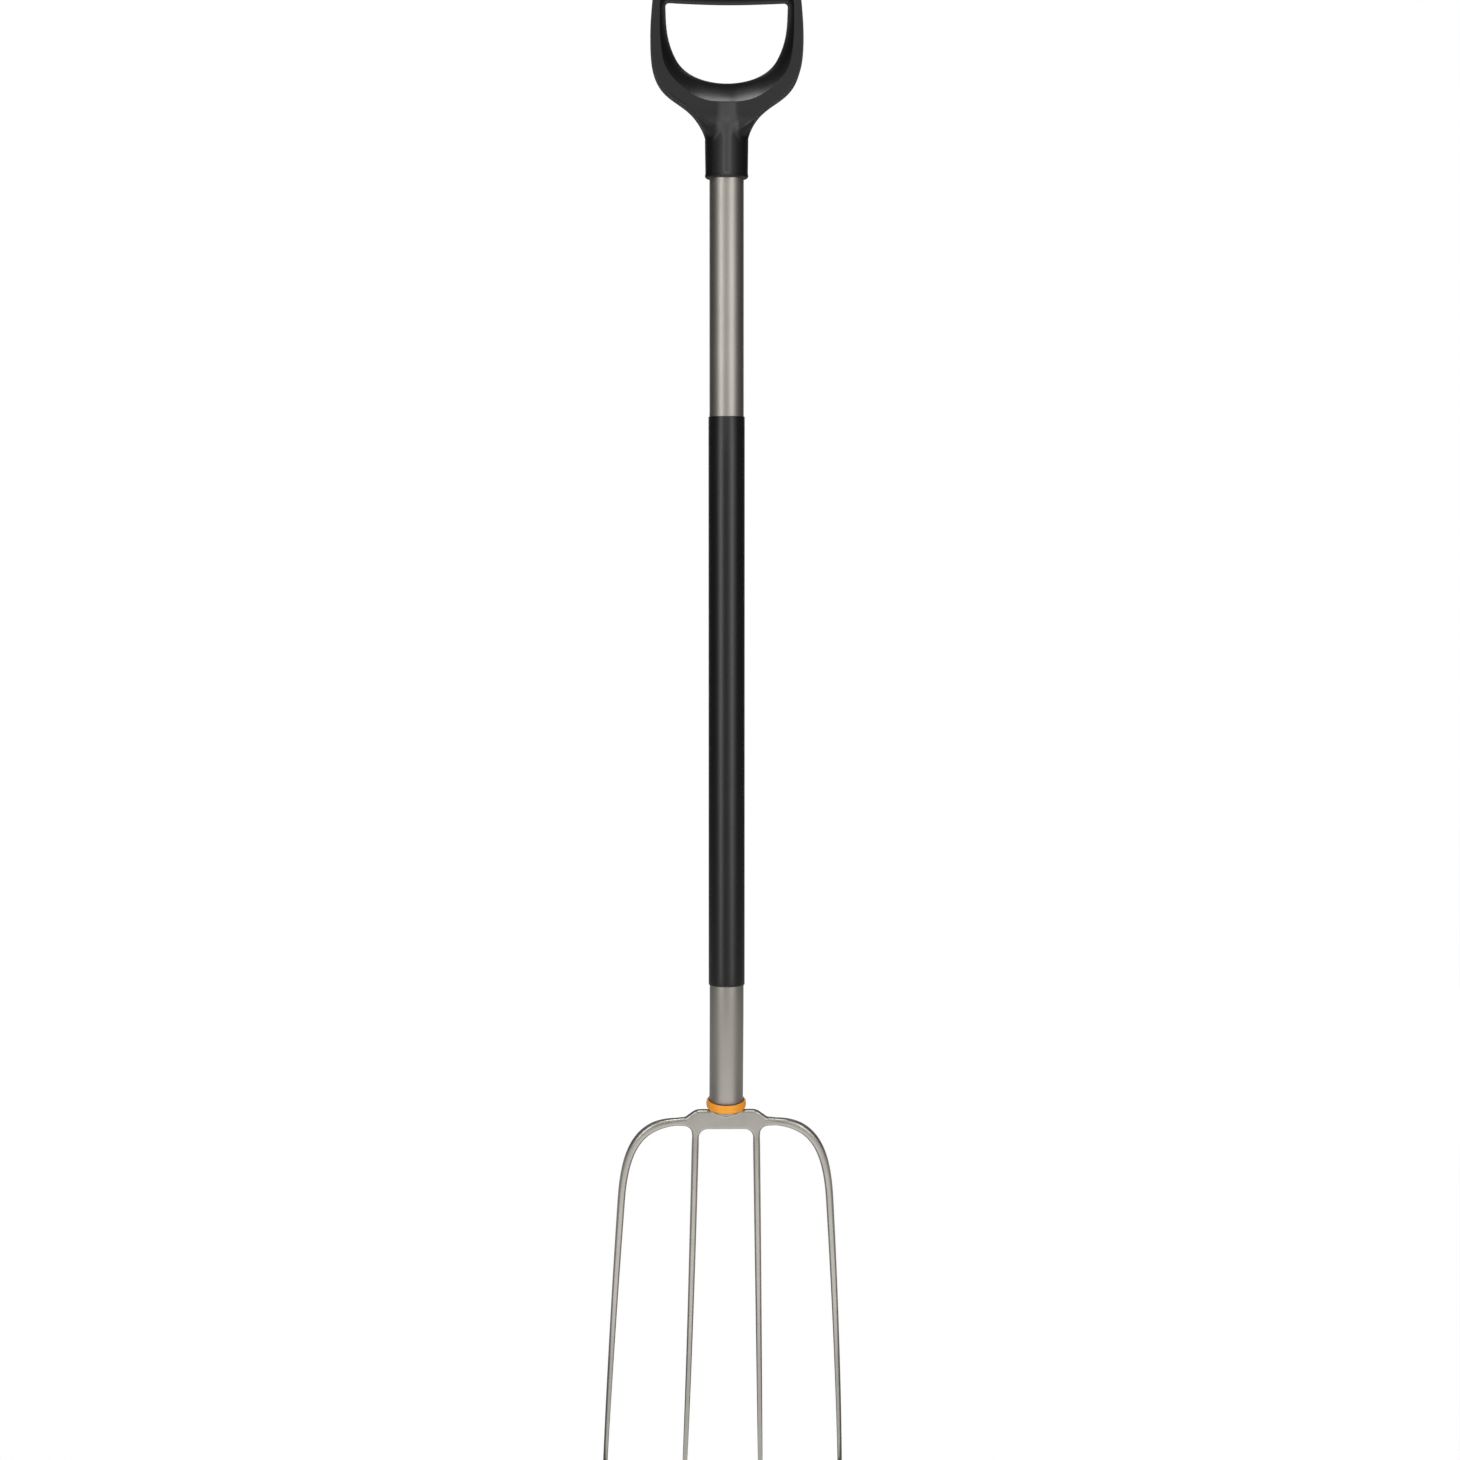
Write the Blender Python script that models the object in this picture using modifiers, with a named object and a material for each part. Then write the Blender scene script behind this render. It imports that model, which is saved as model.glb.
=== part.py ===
"""Compost fork: a D-handled four-tine fork built as an assembly of separate pieces.

Metres, +Z up. The origin is the middle of the grip's underside, on the shaft's axis. +X is to
the right of someone looking along +Y. The lower shaft and the tines lean and curve to +Y.
"""

import math

import bmesh
import bpy
from mathutils import Matrix, Vector

MM = 0.001
GAP = 0.3 * MM
PAST_FACE = 6.0 * MM

# Shaft: an aluminium tube, straight but for one bend near its lower end
TUBE_RADIUS = 12.5 * MM
TUBE_WALL = 1.6 * MM
TUBE_TOP_Z = -78.0 * MM
BEND_START_Z = -705.0 * MM
BEND_RADIUS = 240.0 * MM
BEND_ANGLE = math.radians(12.0)
BELOW_BEND = 52.2 * MM
BEND_STEPS = 8
TUBE_BEVEL_RESOLUTION = 16

# Plastic sleeve over the middle of the shaft
SLEEVE_RADIUS = 13.25 * MM
SLEEVE_GAP = 0.25 * MM
SLEEVE_TOP_Z = -297.5 * MM
SLEEVE_LENGTH = 416.5 * MM
SLEEVE_BEND_STEPS = 3

# D-handle, in the plane of the shaft. Outlines run from the grip's middle down the +X side.
GRIP_HEIGHT = 28.0 * MM
OPENING_DEPTH = 56.5 * MM
ARM_HALF_DEPTH = 12.5 * MM
NECK_HALF_DEPTH = 15.2 * MM
GRIP_HALF_DEPTH = 14.0 * MM
NECK_TOP_Z = -45.0 * MM
NECK_END_Z = -85.0 * MM
ROUND_START_Z = -76.0 * MM
ROUND_END_Z = -97.0 * MM
SOCKET_RADIUS = 15.8 * MM
SOCKET_TOP_Z = -84.0 * MM
SOCKET_BOTTOM_Z = -125.4 * MM
SOCKET_LIP = 0.8 * MM
FLARE_RADIUS = 15.7 * MM
INNER_OUTLINE = (
    ((0.0, -0.1), (14.0, -0.1), (27.0, 0.5), (41.2, 1.2)),
    ((41.2, 1.2), (43.0, 1.3), (44.3, 0.2), (44.3, -1.8)),
    ((44.3, -1.8), (43.9, -14.8), (44.0, -25.8), (36.7, -39.5)),
    ((36.7, -39.5), (30.5, -50.8), (17.4, -55.4), (4.0, -56.4)),
    ((4.0, -56.4), (2.7, -56.5), (1.3, -56.5), (0.0, -56.5)),
)
OUTER_OUTLINE = (
    ((0.0, 28.0), (12.0, 28.0), (22.0, 27.8), (34.0, 26.4)),
    ((34.0, 26.4), (44.6, 25.1), (51.0, 20.2), (52.9, 9.5)),
    ((52.9, 9.5), (54.6, -6.3), (56.6, -24.9), (54.4, -42.0)),
    ((54.4, -42.0), (49.6, -74.9), (23.7, -64.4), (15.7, -96.5)),
    ((15.7, -96.5), (15.2, -99.5), (8.0, -99.5), (0.0, -99.5)),
)
OUTLINE_STEPS = (7, 8, 8, 16, 3)
EDGE_ROUND = {"grip": 14.0 * MM, "arm": 3.0 * MM}
HOLE_ROUND = {"grip": 14.0 * MM, "arm": 4.6 * MM, "saddle": 14.7 * MM}
ROUND_POINTS = 4
FACE_POINTS = 3
THINNEST_HALF = 0.25 * MM

# Screw through the back of the socket into the tube
SCREW_Z = -108.0 * MM
SCREW_HEAD_RADIUS = 4.0 * MM
SCREW_HEAD_HEIGHT = 2.4 * MM
SCREW_SHANK_RADIUS = 2.0 * MM
SCREW_LENGTH = 9.0 * MM
SCREW_SEAT_Y = 14.4 * MM
DRIVE_RADIUS = 1.6 * MM
DRIVE_DEPTH = 1.3 * MM
DRIVE_TURN = math.radians(22.0)

# Collar ring round the tube's lower end. Distances run down the tube from the end of its bend.
RING_RADIUS = 14.8 * MM
RING_TOP = 48.2 * MM
RING_BOTTOM = 54.5 * MM
RING_FLANGE = 2.0 * MM
RING_HOLE_RADIUS = 8.6 * MM

# Fork head: a flat web, a round neck and a tang, with four tines
WEB_TOP = 57.4 * MM
WEB_THICKNESS = 5.2 * MM
WEB_EDGE = 1.0 * MM
NECK_RADIUS = 11.0 * MM
NECK_FOOT = ((10.5, -0.4), (7.6, -1.2), (5.2, -2.2), (3.4, -3.4), (2.0, -5.0))
TANG_ROOT = (11.5 * MM, 8.0 * MM)
TANG_END = (8.5 * MM, 6.0 * MM)
TANG_LENGTH = 48.0 * MM
TANG_EDGE = 1.0 * MM
FLAT_LENGTH = 12.0 * MM
TINE_ARC_LENGTH = 332.0 * MM
TINE_ARC_ANGLE = math.radians(20.0)
TIP_LENGTH = 20.0 * MM
WEB_CORNERS = (
    (22.5, -1.0, 9.0),
    (30.6, 5.2, 3.0),
    (36.0, 5.7, 0.0),
    (43.0, 7.6, 0.0),
    (43.0, 9.6, 0.0),
    (36.0, 11.6, 0.0),
    (25.9, 11.9, 6.0),
    (24.6, 28.0, 0.0),
    (20.8, 28.0, 0.0),
    (19.7, 14.3, 6.5),
)
OUTER_TINE = (
    ((18.0, 8.8), (22.6, 8.8), (27.4, 8.7), (32.0, 8.6)),
    ((32.0, 8.6), (64.0, 8.0), (75.2, 28.0), (78.2, 72.0)),
    ((78.2, 72.0), (84.3, 162.0), (89.4, 254.0), (93.2, 344.0)),
)
INNER_TINE = (
    ((22.4, 3.0), (24.7, 118.0), (27.2, 231.0), (30.2, 344.0)),
)
# Sizes of the tines' sections, each after its distance along the tine from inside the web
OUTER_TINE_WIDTHS = ((0.0, 3.6), (14.0, 5.6), (36.0, 7.2), (64.0, 6.4), (92.0, 5.8), (370.0, 3.4))
OUTER_TINE_DEPTHS = ((0.0, 3.2), (14.0, 4.8), (28.0, 6.6), (48.0, 7.4), (100.0, 7.0), (370.0, 4.0))
INNER_TINE_WIDTHS = ((0.0, 3.0), (12.0, 4.8), (24.0, 5.4), (110.0, 5.0), (342.0, 3.7))
INNER_TINE_DEPTHS = ((0.0, 3.0), (12.0, 4.8), (28.0, 6.6), (44.0, 7.2), (100.0, 6.8), (342.0, 4.0))
OUTER_TINE_STEPS = (2, 18, 20)
INNER_TINE_STEPS = (30,)
TINE_SIDES = 12
SECTION_SQUARENESS = 3.0
BLUNT_TIP = 0.18

# Bush that fills the tube round the tang
BUSH_RADIUS = 10.6 * MM
BUSH_LENGTH = 44.0 * MM
BUSH_TOP = 6.0 * MM
BUSH_EDGE = 0.8 * MM

# Rivet through the back of the tube and the bush into the tang
RIVET_DISTANCE = 30.0 * MM
RIVET_HEAD_RADIUS = 4.5 * MM
RIVET_HEAD_HEIGHT = 1.5 * MM
RIVET_SHANK_RADIUS = 2.2 * MM
RIVET_LENGTH = 10.6 * MM

TURNED_STEPS = 48
SMALL_STEPS = 24

COLOURS = {
    "charcoal_plastic": ((0.030, 0.030, 0.030, 1.0), 0.45, 0.0),
    "black_plastic": ((0.020, 0.020, 0.019, 1.0), 0.40, 0.0),
    "anodised_aluminium": ((0.420, 0.408, 0.380, 1.0), 0.38, 1.0),
    "orange_plastic": ((0.900, 0.330, 0.035, 1.0), 0.42, 0.0),
    "painted_steel": ((0.370, 0.362, 0.340, 1.0), 0.45, 0.6),
    "pale_nylon": ((0.620, 0.610, 0.570, 1.0), 0.55, 0.0),
    "plated_steel": ((0.560, 0.560, 0.560, 1.0), 0.30, 1.0),
}


def clear_scene():
    for item in list(bpy.data.objects):
        bpy.data.objects.remove(item, do_unlink=True)


def make_collection(name):
    group = bpy.data.collections.new(name)
    bpy.context.scene.collection.children.link(group)
    return group


def make_material(name):
    colour, roughness, metallic = COLOURS[name]
    material = bpy.data.materials.new(name)
    material.use_nodes = True
    shader = material.node_tree.nodes["Principled BSDF"]
    shader.inputs["Base Color"].default_value = colour
    shader.inputs["Roughness"].default_value = roughness
    shader.inputs["Metallic"].default_value = metallic
    return material


def smooth_step(value):
    value = min(max(value, 0.0), 1.0)
    return value * value * (3.0 - 2.0 * value)


def table_value(table, position):
    """Straight-line value between the rows of a small (position, value) table."""
    for (start, low), (end, high) in zip(table, table[1:]):
        if position <= end:
            share = (position - start) / (end - start)
            return low + (high - low) * share
    return table[-1][1]


def bezier_point(segment, share):
    a, b, c, d = (Vector(point) for point in segment)
    rest = 1.0 - share
    return (a * rest ** 3 + b * (3.0 * rest ** 2 * share)
            + c * (3.0 * rest * share ** 2) + d * share ** 3)


def chain_points(segments, steps):
    """Points along a chain of cubic curves, with the given number of steps for each."""
    points = [bezier_point(segments[0], 0.0)]
    for segment, count in zip(segments, steps):
        points += [bezier_point(segment, (i + 1) / count) for i in range(count)]
    return points


def add_object(group, name, mesh, material=None):
    item = bpy.data.objects.new(name, mesh)
    group.objects.link(item)
    if material is not None:
        mesh.materials.clear()
        mesh.materials.append(material)
    return item


def mesh_from_rings(name, rings, closed):
    """Quads between rings of points; the last ring joins the first, or both ends are capped."""
    form = bmesh.new()
    rows = [[form.verts.new(point) for point in ring] for ring in rings]
    count = len(rows[0])
    spans = len(rows) if closed else len(rows) - 1
    for i in range(spans):
        low, high = rows[i], rows[(i + 1) % len(rows)]
        for j in range(count):
            k = (j + 1) % count
            form.faces.new((low[j], low[k], high[k], high[j]))
    if not closed:
        form.faces.new(rows[0][::-1])
        form.faces.new(rows[-1])
    bmesh.ops.recalc_face_normals(form, faces=form.faces)
    mesh = bpy.data.meshes.new(name)
    form.to_mesh(mesh)
    form.free()
    return mesh


def turned(group, name, profile, steps):
    """A profile of (radius, height) pairs turned about Z.

    A profile that starts and ends on the axis makes a solid piece; any other is a closed loop
    and makes a ring.
    """
    form = bmesh.new()
    points = [form.verts.new((radius, 0.0, height)) for radius, height in profile]
    on_axis = profile[0][0] == 0.0 and profile[-1][0] == 0.0
    ends = points[1:] if on_axis else points[1:] + points[:1]
    for first, second in zip(points, ends):
        form.edges.new((first, second))
    mesh = bpy.data.meshes.new(name)
    form.to_mesh(mesh)
    form.free()
    item = add_object(group, name, mesh)
    screw = item.modifiers.new("turn", "SCREW")
    screw.axis = "Z"
    screw.angle = 2.0 * math.pi
    screw.steps = steps
    screw.render_steps = steps
    screw.use_merge_vertices = True
    screw.merge_threshold = 0.00001
    return item


def evaluated_mesh(item):
    """The object's mesh with its modifiers, its loose caps and doubled points welded."""
    bpy.context.view_layer.update()
    graph = bpy.context.evaluated_depsgraph_get()
    mesh = bpy.data.meshes.new_from_object(item.evaluated_get(graph))
    form = bmesh.new()
    form.from_mesh(mesh)
    bmesh.ops.remove_doubles(form, verts=form.verts, dist=0.000002)
    bmesh.ops.recalc_face_normals(form, faces=form.faces)
    form.to_mesh(mesh)
    form.free()
    return mesh


def made_solid(group, item, name=None):
    """Replaces a curve or a modified object by a plain mesh object of the same shape."""
    wanted = name or item.name
    solid = add_object(group, wanted, evaluated_mesh(item))
    solid.matrix_world = item.matrix_world.copy()
    bpy.data.objects.remove(item, do_unlink=True)
    solid.name = wanted
    return solid


def boolean(item, other, operation):
    step = item.modifiers.new(operation.lower(), "BOOLEAN")
    step.operation = operation
    step.solver = "EXACT"
    step.object = other


def hide_cutter(item):
    item.hide_render = True
    item.display_type = "WIRE"


def joined(group, name, solids, material):
    """One body from several overlapping solids."""
    base = solids[0]
    for other in solids[1:]:
        boolean(base, other, "UNION")
    whole = made_solid(group, base, name)
    for other in solids[1:]:
        bpy.data.objects.remove(other, do_unlink=True)
    whole.data.materials.clear()
    whole.data.materials.append(material)
    return whole


def finish(item, angle=35.0):
    """Smooth shading that stays sharp at real edges."""
    item.data.shade_smooth()
    item.data.set_sharp_from_angle(angle=math.radians(angle))


def shaft_path(below_bend, top_z):
    """Centre line of the shaft from top_z to a distance below the bend."""
    points = [Vector((0.0, 0.0, top_z))]
    points += [bend_point(BEND_ANGLE * i / BEND_STEPS) for i in range(BEND_STEPS + 1)]
    points.append(lower_point(below_bend))
    return points


def bend_point(angle):
    y = BEND_RADIUS * (1.0 - math.cos(angle))
    z = BEND_START_Z - BEND_RADIUS * math.sin(angle)
    return Vector((0.0, y, z))


def lower_point(distance):
    """A point on the axis of the tube's lower straight stretch."""
    down = Vector((0.0, math.sin(BEND_ANGLE), -math.cos(BEND_ANGLE)))
    return bend_point(BEND_ANGLE) + down * distance


def lower_frame(distance):
    """Places a piece on the lower stretch: its own -Z runs down the tube."""
    return Matrix.Translation(lower_point(distance)) @ Matrix.Rotation(BEND_ANGLE, 4, "X")


def bar_along(group, name, points, radius):
    """A round bar along a centre line, with filled ends."""
    curve = bpy.data.curves.new(name, "CURVE")
    curve.dimensions = "3D"
    curve.bevel_depth = radius
    curve.bevel_resolution = TUBE_BEVEL_RESOLUTION
    curve.use_fill_caps = True
    spline = curve.splines.new("POLY")
    spline.points.add(len(points) - 1)
    for place, point in zip(spline.points, points):
        place.co = (*point, 1.0)
    item = bpy.data.objects.new(name, curve)
    group.objects.link(item)
    return made_solid(group, item)


def stretched(points, extra):
    """The same centre line, run on straight past both ends."""
    first = points[0] + (points[0] - points[1]).normalized() * extra
    last = points[-1] + (points[-1] - points[-2]).normalized() * extra
    return [first] + points[1:-1] + [last]


def hollow_bar(parts, cutters, name, points, radius, bore_radius, material):
    bar = bar_along(parts, name, points, radius)
    bore = bar_along(cutters, name + "_bore", stretched(points, PAST_FACE), bore_radius)
    hide_cutter(bore)
    boolean(bar, bore, "DIFFERENCE")
    bar.data.materials.clear()
    bar.data.materials.append(material)
    finish(bar)
    return bar


def sleeve_path():
    """The sleeve follows the tube a little way into its bend."""
    angle = (SLEEVE_LENGTH - (SLEEVE_TOP_Z - BEND_START_Z)) / BEND_RADIUS
    points = [Vector((0.0, 0.0, SLEEVE_TOP_Z))]
    points += [bend_point(angle * i / SLEEVE_BEND_STEPS) for i in range(SLEEVE_BEND_STEPS + 1)]
    return points


def handle_half_depth(z):
    """Half thickness of the handle's flat faces at a height."""
    grow = smooth_step((NECK_TOP_Z - z) / (NECK_TOP_Z - NECK_END_Z))
    return ARM_HALF_DEPTH + (NECK_HALF_DEPTH - ARM_HALF_DEPTH) * grow


def handle_section(inner, outer, grip_share, saddle_share, flare):
    """Section of the handle between a point of the opening and the outline beyond it.

    The flare is a table of the outline's half width after the depth below the grip.
    """
    across = (outer - inner).normalized()
    width = (outer - inner).length
    hole_round = HOLE_ROUND["arm"]
    hole_round += (HOLE_ROUND["saddle"] - hole_round) * saddle_share
    hole_round += (HOLE_ROUND["grip"] - hole_round) * grip_share
    edge_round = EDGE_ROUND["arm"] + (EDGE_ROUND["grip"] - EDGE_ROUND["arm"]) * grip_share
    spread = min(1.0, 0.999 * width / (hole_round + edge_round))
    hole_round *= spread
    edge_round *= spread

    front = []
    for i in range(ROUND_POINTS + 1):
        angle = 0.5 * math.pi * i / ROUND_POINTS
        front.append((hole_round * (1.0 - math.cos(angle)), math.sin(angle), 0.0))
    for i in range(1, FACE_POINTS + 1):
        share = i / (FACE_POINTS + 1)
        front.append((hole_round + (width - hole_round - edge_round) * share, 1.0, 0.0))
    for i in range(ROUND_POINTS + 1):
        angle = 0.5 * math.pi * i / ROUND_POINTS
        drop = edge_round * (1.0 - math.cos(angle))
        front.append((width - edge_round + edge_round * math.sin(angle), 1.0, drop))

    ring = []
    for distance, share, drop in front:
        place = inner + across * distance
        depth = surface_depth(place, share, drop, grip_share, flare)
        ring.append(Vector((place.x, -depth, place.y)))
    back = [Vector((point.x, -point.y, point.z)) for point in ring[1:]]
    return ring + back[::-1]


def surface_depth(place, share, drop, grip_share, flare):
    """Distance of the handle's front from its middle plane, flat on the arms, round at the neck."""
    flat = handle_half_depth(place.y)
    flat += (GRIP_HALF_DEPTH - flat) * grip_share
    flat = max(flat * share - drop, THINNEST_HALF)
    turn = smooth_step((ROUND_START_Z - place.y) / (ROUND_START_Z - ROUND_END_Z))
    if turn == 0.0:
        return flat
    side = min(abs(place.x) / table_value(flare, -place.y), 1.0)
    rounded = FLARE_RADIUS * math.sqrt(1.0 - side ** 2)
    return max(flat + (rounded - flat) * turn, THINNEST_HALF)


def handle_rings():
    inner = [point * MM for point in chain_points(INNER_OUTLINE, OUTLINE_STEPS)]
    outer = [point * MM for point in chain_points(OUTER_OUTLINE, OUTLINE_STEPS)]
    grip_steps, corner_steps, side_steps, flare_steps, _ = OUTLINE_STEPS
    corner_end = grip_steps + corner_steps
    side_end = corner_end + side_steps
    flare_end = side_end + flare_steps
    flare = [(-point.y, point.x) for point in outer[side_end:flare_end + 1]]
    half = []
    for i, (a, b) in enumerate(zip(inner, outer)):
        grip_share = 1.0 - smooth_step((i - grip_steps + 1) / (corner_steps + 1))
        saddle_share = smooth_step((i - side_end + 4) / (flare_steps + 2))
        half.append(handle_section(a, b, grip_share, saddle_share, flare))
    mirrored = [[Vector((-p.x, p.y, p.z)) for p in ring] for ring in half[1:-1]]
    return half + mirrored[::-1]


def make_handle(parts, cutters, material):
    body = add_object(parts, "handle_body", mesh_from_rings("handle_body", handle_rings(), True))
    lip = SOCKET_LIP
    socket = turned(parts, "handle_socket", (
        (0.0, SOCKET_TOP_Z),
        (FLARE_RADIUS - 3.0 * MM, SOCKET_TOP_Z),
        (SOCKET_RADIUS, ROUND_END_Z),
        (SOCKET_RADIUS, SOCKET_BOTTOM_Z + 2.0 * lip),
        (SOCKET_RADIUS - 0.4 * lip, SOCKET_BOTTOM_Z + 0.6 * lip),
        (SOCKET_RADIUS - lip, SOCKET_BOTTOM_Z),
        (0.0, SOCKET_BOTTOM_Z),
    ), TURNED_STEPS)
    socket = made_solid(parts, socket)
    handle = joined(parts, "d_handle", [body, socket], material)

    bore = bar_along(cutters, "socket_bore", [
        Vector((0.0, 0.0, TUBE_TOP_Z + GAP)), Vector((0.0, 0.0, SOCKET_BOTTOM_Z - PAST_FACE)),
    ], TUBE_RADIUS + GAP)
    hide_cutter(bore)
    boolean(handle, bore, "DIFFERENCE")
    seat = turned(cutters, "screw_seat", (
        (0.0, PAST_FACE),
        (SCREW_HEAD_RADIUS + 2.0 * GAP, PAST_FACE),
        (SCREW_HEAD_RADIUS + 2.0 * GAP, -GAP),
        (SCREW_SHANK_RADIUS + GAP, -GAP),
        (SCREW_SHANK_RADIUS + GAP, -PAST_FACE),
        (0.0, -PAST_FACE),
    ), SMALL_STEPS)
    seat.matrix_world = screw_frame()
    hide_cutter(seat)
    boolean(handle, seat, "DIFFERENCE")
    finish(handle)
    return handle


def screw_frame():
    """The handle screw's own +Z points out of the back of the socket."""
    place = Matrix.Translation((0.0, SCREW_SEAT_Y, SCREW_Z))
    return place @ Matrix.Rotation(math.radians(-90.0), 4, "X")


def make_screw(parts, cutters, material):
    head = SCREW_HEAD_HEIGHT
    screw = turned(parts, "handle_screw", (
        (0.0, head),
        (SCREW_HEAD_RADIUS * 0.72, head * 0.94),
        (SCREW_HEAD_RADIUS * 0.94, head * 0.66),
        (SCREW_HEAD_RADIUS, head * 0.3),
        (SCREW_HEAD_RADIUS, 0.0),
        (SCREW_SHANK_RADIUS, 0.0),
        (SCREW_SHANK_RADIUS, -SCREW_LENGTH + 2.0 * MM),
        (SCREW_SHANK_RADIUS * 0.2, -SCREW_LENGTH),
        (0.0, -SCREW_LENGTH),
    ), SMALL_STEPS)
    screw.matrix_world = screw_frame()
    bpy.ops.mesh.primitive_cylinder_add(vertices=6, radius=DRIVE_RADIUS, depth=2.0 * DRIVE_DEPTH)
    drive = bpy.context.object
    drive.name = "screw_drive"
    move_to(drive, cutters)
    turned_to = Matrix.Rotation(DRIVE_TURN, 4, "Z")
    drive.matrix_world = screw_frame() @ Matrix.Translation((0.0, 0.0, head)) @ turned_to
    hide_cutter(drive)
    boolean(screw, drive, "DIFFERENCE")
    screw.data.materials.append(material)
    return screw


def move_to(item, group):
    for old in list(item.users_collection):
        old.objects.unlink(item)
    group.objects.link(item)


def side_hole(cutters, name, frame, radius, reach):
    """A round cutter into the back of the shaft, reaching this far below a screw's or rivet's seat."""
    depth = reach + PAST_FACE
    bpy.ops.mesh.primitive_cylinder_add(vertices=SMALL_STEPS, radius=radius, depth=depth)
    hole = bpy.context.object
    hole.name = name
    move_to(hole, cutters)
    hole.matrix_world = frame @ Matrix.Translation((0.0, 0.0, 0.5 * (PAST_FACE - depth)))
    hide_cutter(hole)
    return hole


def make_tube(parts, cutters, material):
    path = shaft_path(BELOW_BEND, TUBE_TOP_Z)
    bore_radius = TUBE_RADIUS - TUBE_WALL
    tube = hollow_bar(parts, cutters, "shaft_tube", path, TUBE_RADIUS, bore_radius, material)
    screw_hole = side_hole(cutters, "tube_screw_hole", screw_frame(), SCREW_SHANK_RADIUS + GAP,
                           SCREW_LENGTH)
    rivet_hole = side_hole(cutters, "tube_rivet_hole", rivet_frame(), RIVET_SHANK_RADIUS + GAP,
                           TUBE_WALL + 2.0 * GAP)
    boolean(tube, screw_hole, "DIFFERENCE")
    boolean(tube, rivet_hole, "DIFFERENCE")
    return tube


def make_ring(parts, material):
    """An L-section collar: a rounded band round the tube and a flange under its end."""
    height = RING_BOTTOM - RING_TOP
    inside = TUBE_RADIUS + GAP
    ring = turned(parts, "collar_ring", (
        (inside + 0.5 * MM, height),
        (RING_RADIUS - 0.75 * MM, height - 0.15 * MM),
        (RING_RADIUS - 0.2 * MM, height - 0.9 * MM),
        (RING_RADIUS, 0.52 * height),
        (RING_RADIUS - 0.2 * MM, 1.3 * MM),
        (RING_RADIUS - 0.9 * MM, 0.4 * MM),
        (RING_RADIUS - 2.0 * MM, 0.0),
        (RING_HOLE_RADIUS, 0.0),
        (RING_HOLE_RADIUS, RING_FLANGE),
        (inside, RING_FLANGE),
        (inside, height - 0.5 * MM),
    ), TURNED_STEPS)
    ring.matrix_world = lower_frame(RING_BOTTOM)
    ring.data.materials.append(material)
    ring.data.shade_smooth()
    return ring


def rivet_frame():
    """The head rivet's own +Z points out of the back of the tube."""
    seat = Matrix.Translation((0.0, TUBE_RADIUS + 0.2 * MM, 0.0))
    return lower_frame(RIVET_DISTANCE) @ seat @ Matrix.Rotation(math.radians(-90.0), 4, "X")


def make_rivet(parts, material):
    head = RIVET_HEAD_HEIGHT
    rivet = turned(parts, "head_rivet", (
        (0.0, head),
        (RIVET_HEAD_RADIUS * 0.5, head * 0.92),
        (RIVET_HEAD_RADIUS * 0.86, head * 0.6),
        (RIVET_HEAD_RADIUS, head * 0.12),
        (RIVET_HEAD_RADIUS, 0.0),
        (RIVET_SHANK_RADIUS, 0.0),
        (RIVET_SHANK_RADIUS, -RIVET_LENGTH + 0.6 * MM),
        (RIVET_SHANK_RADIUS - 0.6 * MM, -RIVET_LENGTH),
        (0.0, -RIVET_LENGTH),
    ), SMALL_STEPS)
    rivet.matrix_world = rivet_frame()
    rivet.data.materials.append(material)
    return rivet


def tapered_bar(group, name, root, end, length, edge):
    """A square bar that tapers upwards from its root size to its end size."""
    bpy.ops.mesh.primitive_cube_add(size=1.0)
    bar = bpy.context.object
    bar.name = name
    move_to(bar, group)
    for vertex in bar.data.vertices:
        size = end if vertex.co.z > 0.0 else root
        vertex.co.x *= size[0]
        vertex.co.y *= size[1]
        vertex.co.z = length if vertex.co.z > 0.0 else 0.0
    bevel = bar.modifiers.new("edges", "BEVEL")
    bevel.width = edge
    bevel.segments = 2
    return bar


def tang_bar(group, name, extra):
    """The tang's shape, or with extra the hole that clears it, from the web's top upwards."""
    grow = 2.0 * extra
    root = (TANG_ROOT[0] + grow, TANG_ROOT[1] + grow)
    end = (TANG_END[0] + grow, TANG_END[1] + grow)
    length = WEB_TOP - RING_BOTTOM + TANG_LENGTH + extra
    bar = tapered_bar(group, name, root, end, length, TANG_EDGE + extra)
    bar.matrix_world = lower_frame(WEB_TOP)
    return bar


def make_bush(parts, cutters, material):
    edge = BUSH_EDGE
    bush = turned(parts, "tang_bush", (
        (0.0, 0.0),
        (BUSH_RADIUS - edge, 0.0),
        (BUSH_RADIUS, -edge),
        (BUSH_RADIUS, -BUSH_LENGTH + edge),
        (BUSH_RADIUS - edge, -BUSH_LENGTH),
        (0.0, -BUSH_LENGTH),
    ), TURNED_STEPS)
    bush.matrix_world = lower_frame(BUSH_TOP)
    hole = tang_bar(cutters, "bush_hole", GAP)
    hide_cutter(hole)
    boolean(bush, hole, "DIFFERENCE")
    rivet_hole = side_hole(cutters, "bush_rivet_hole", rivet_frame(), RIVET_SHANK_RADIUS + GAP,
                           RIVET_LENGTH)
    boolean(bush, rivet_hole, "DIFFERENCE")
    bush.data.materials.append(material)
    return bush


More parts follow.
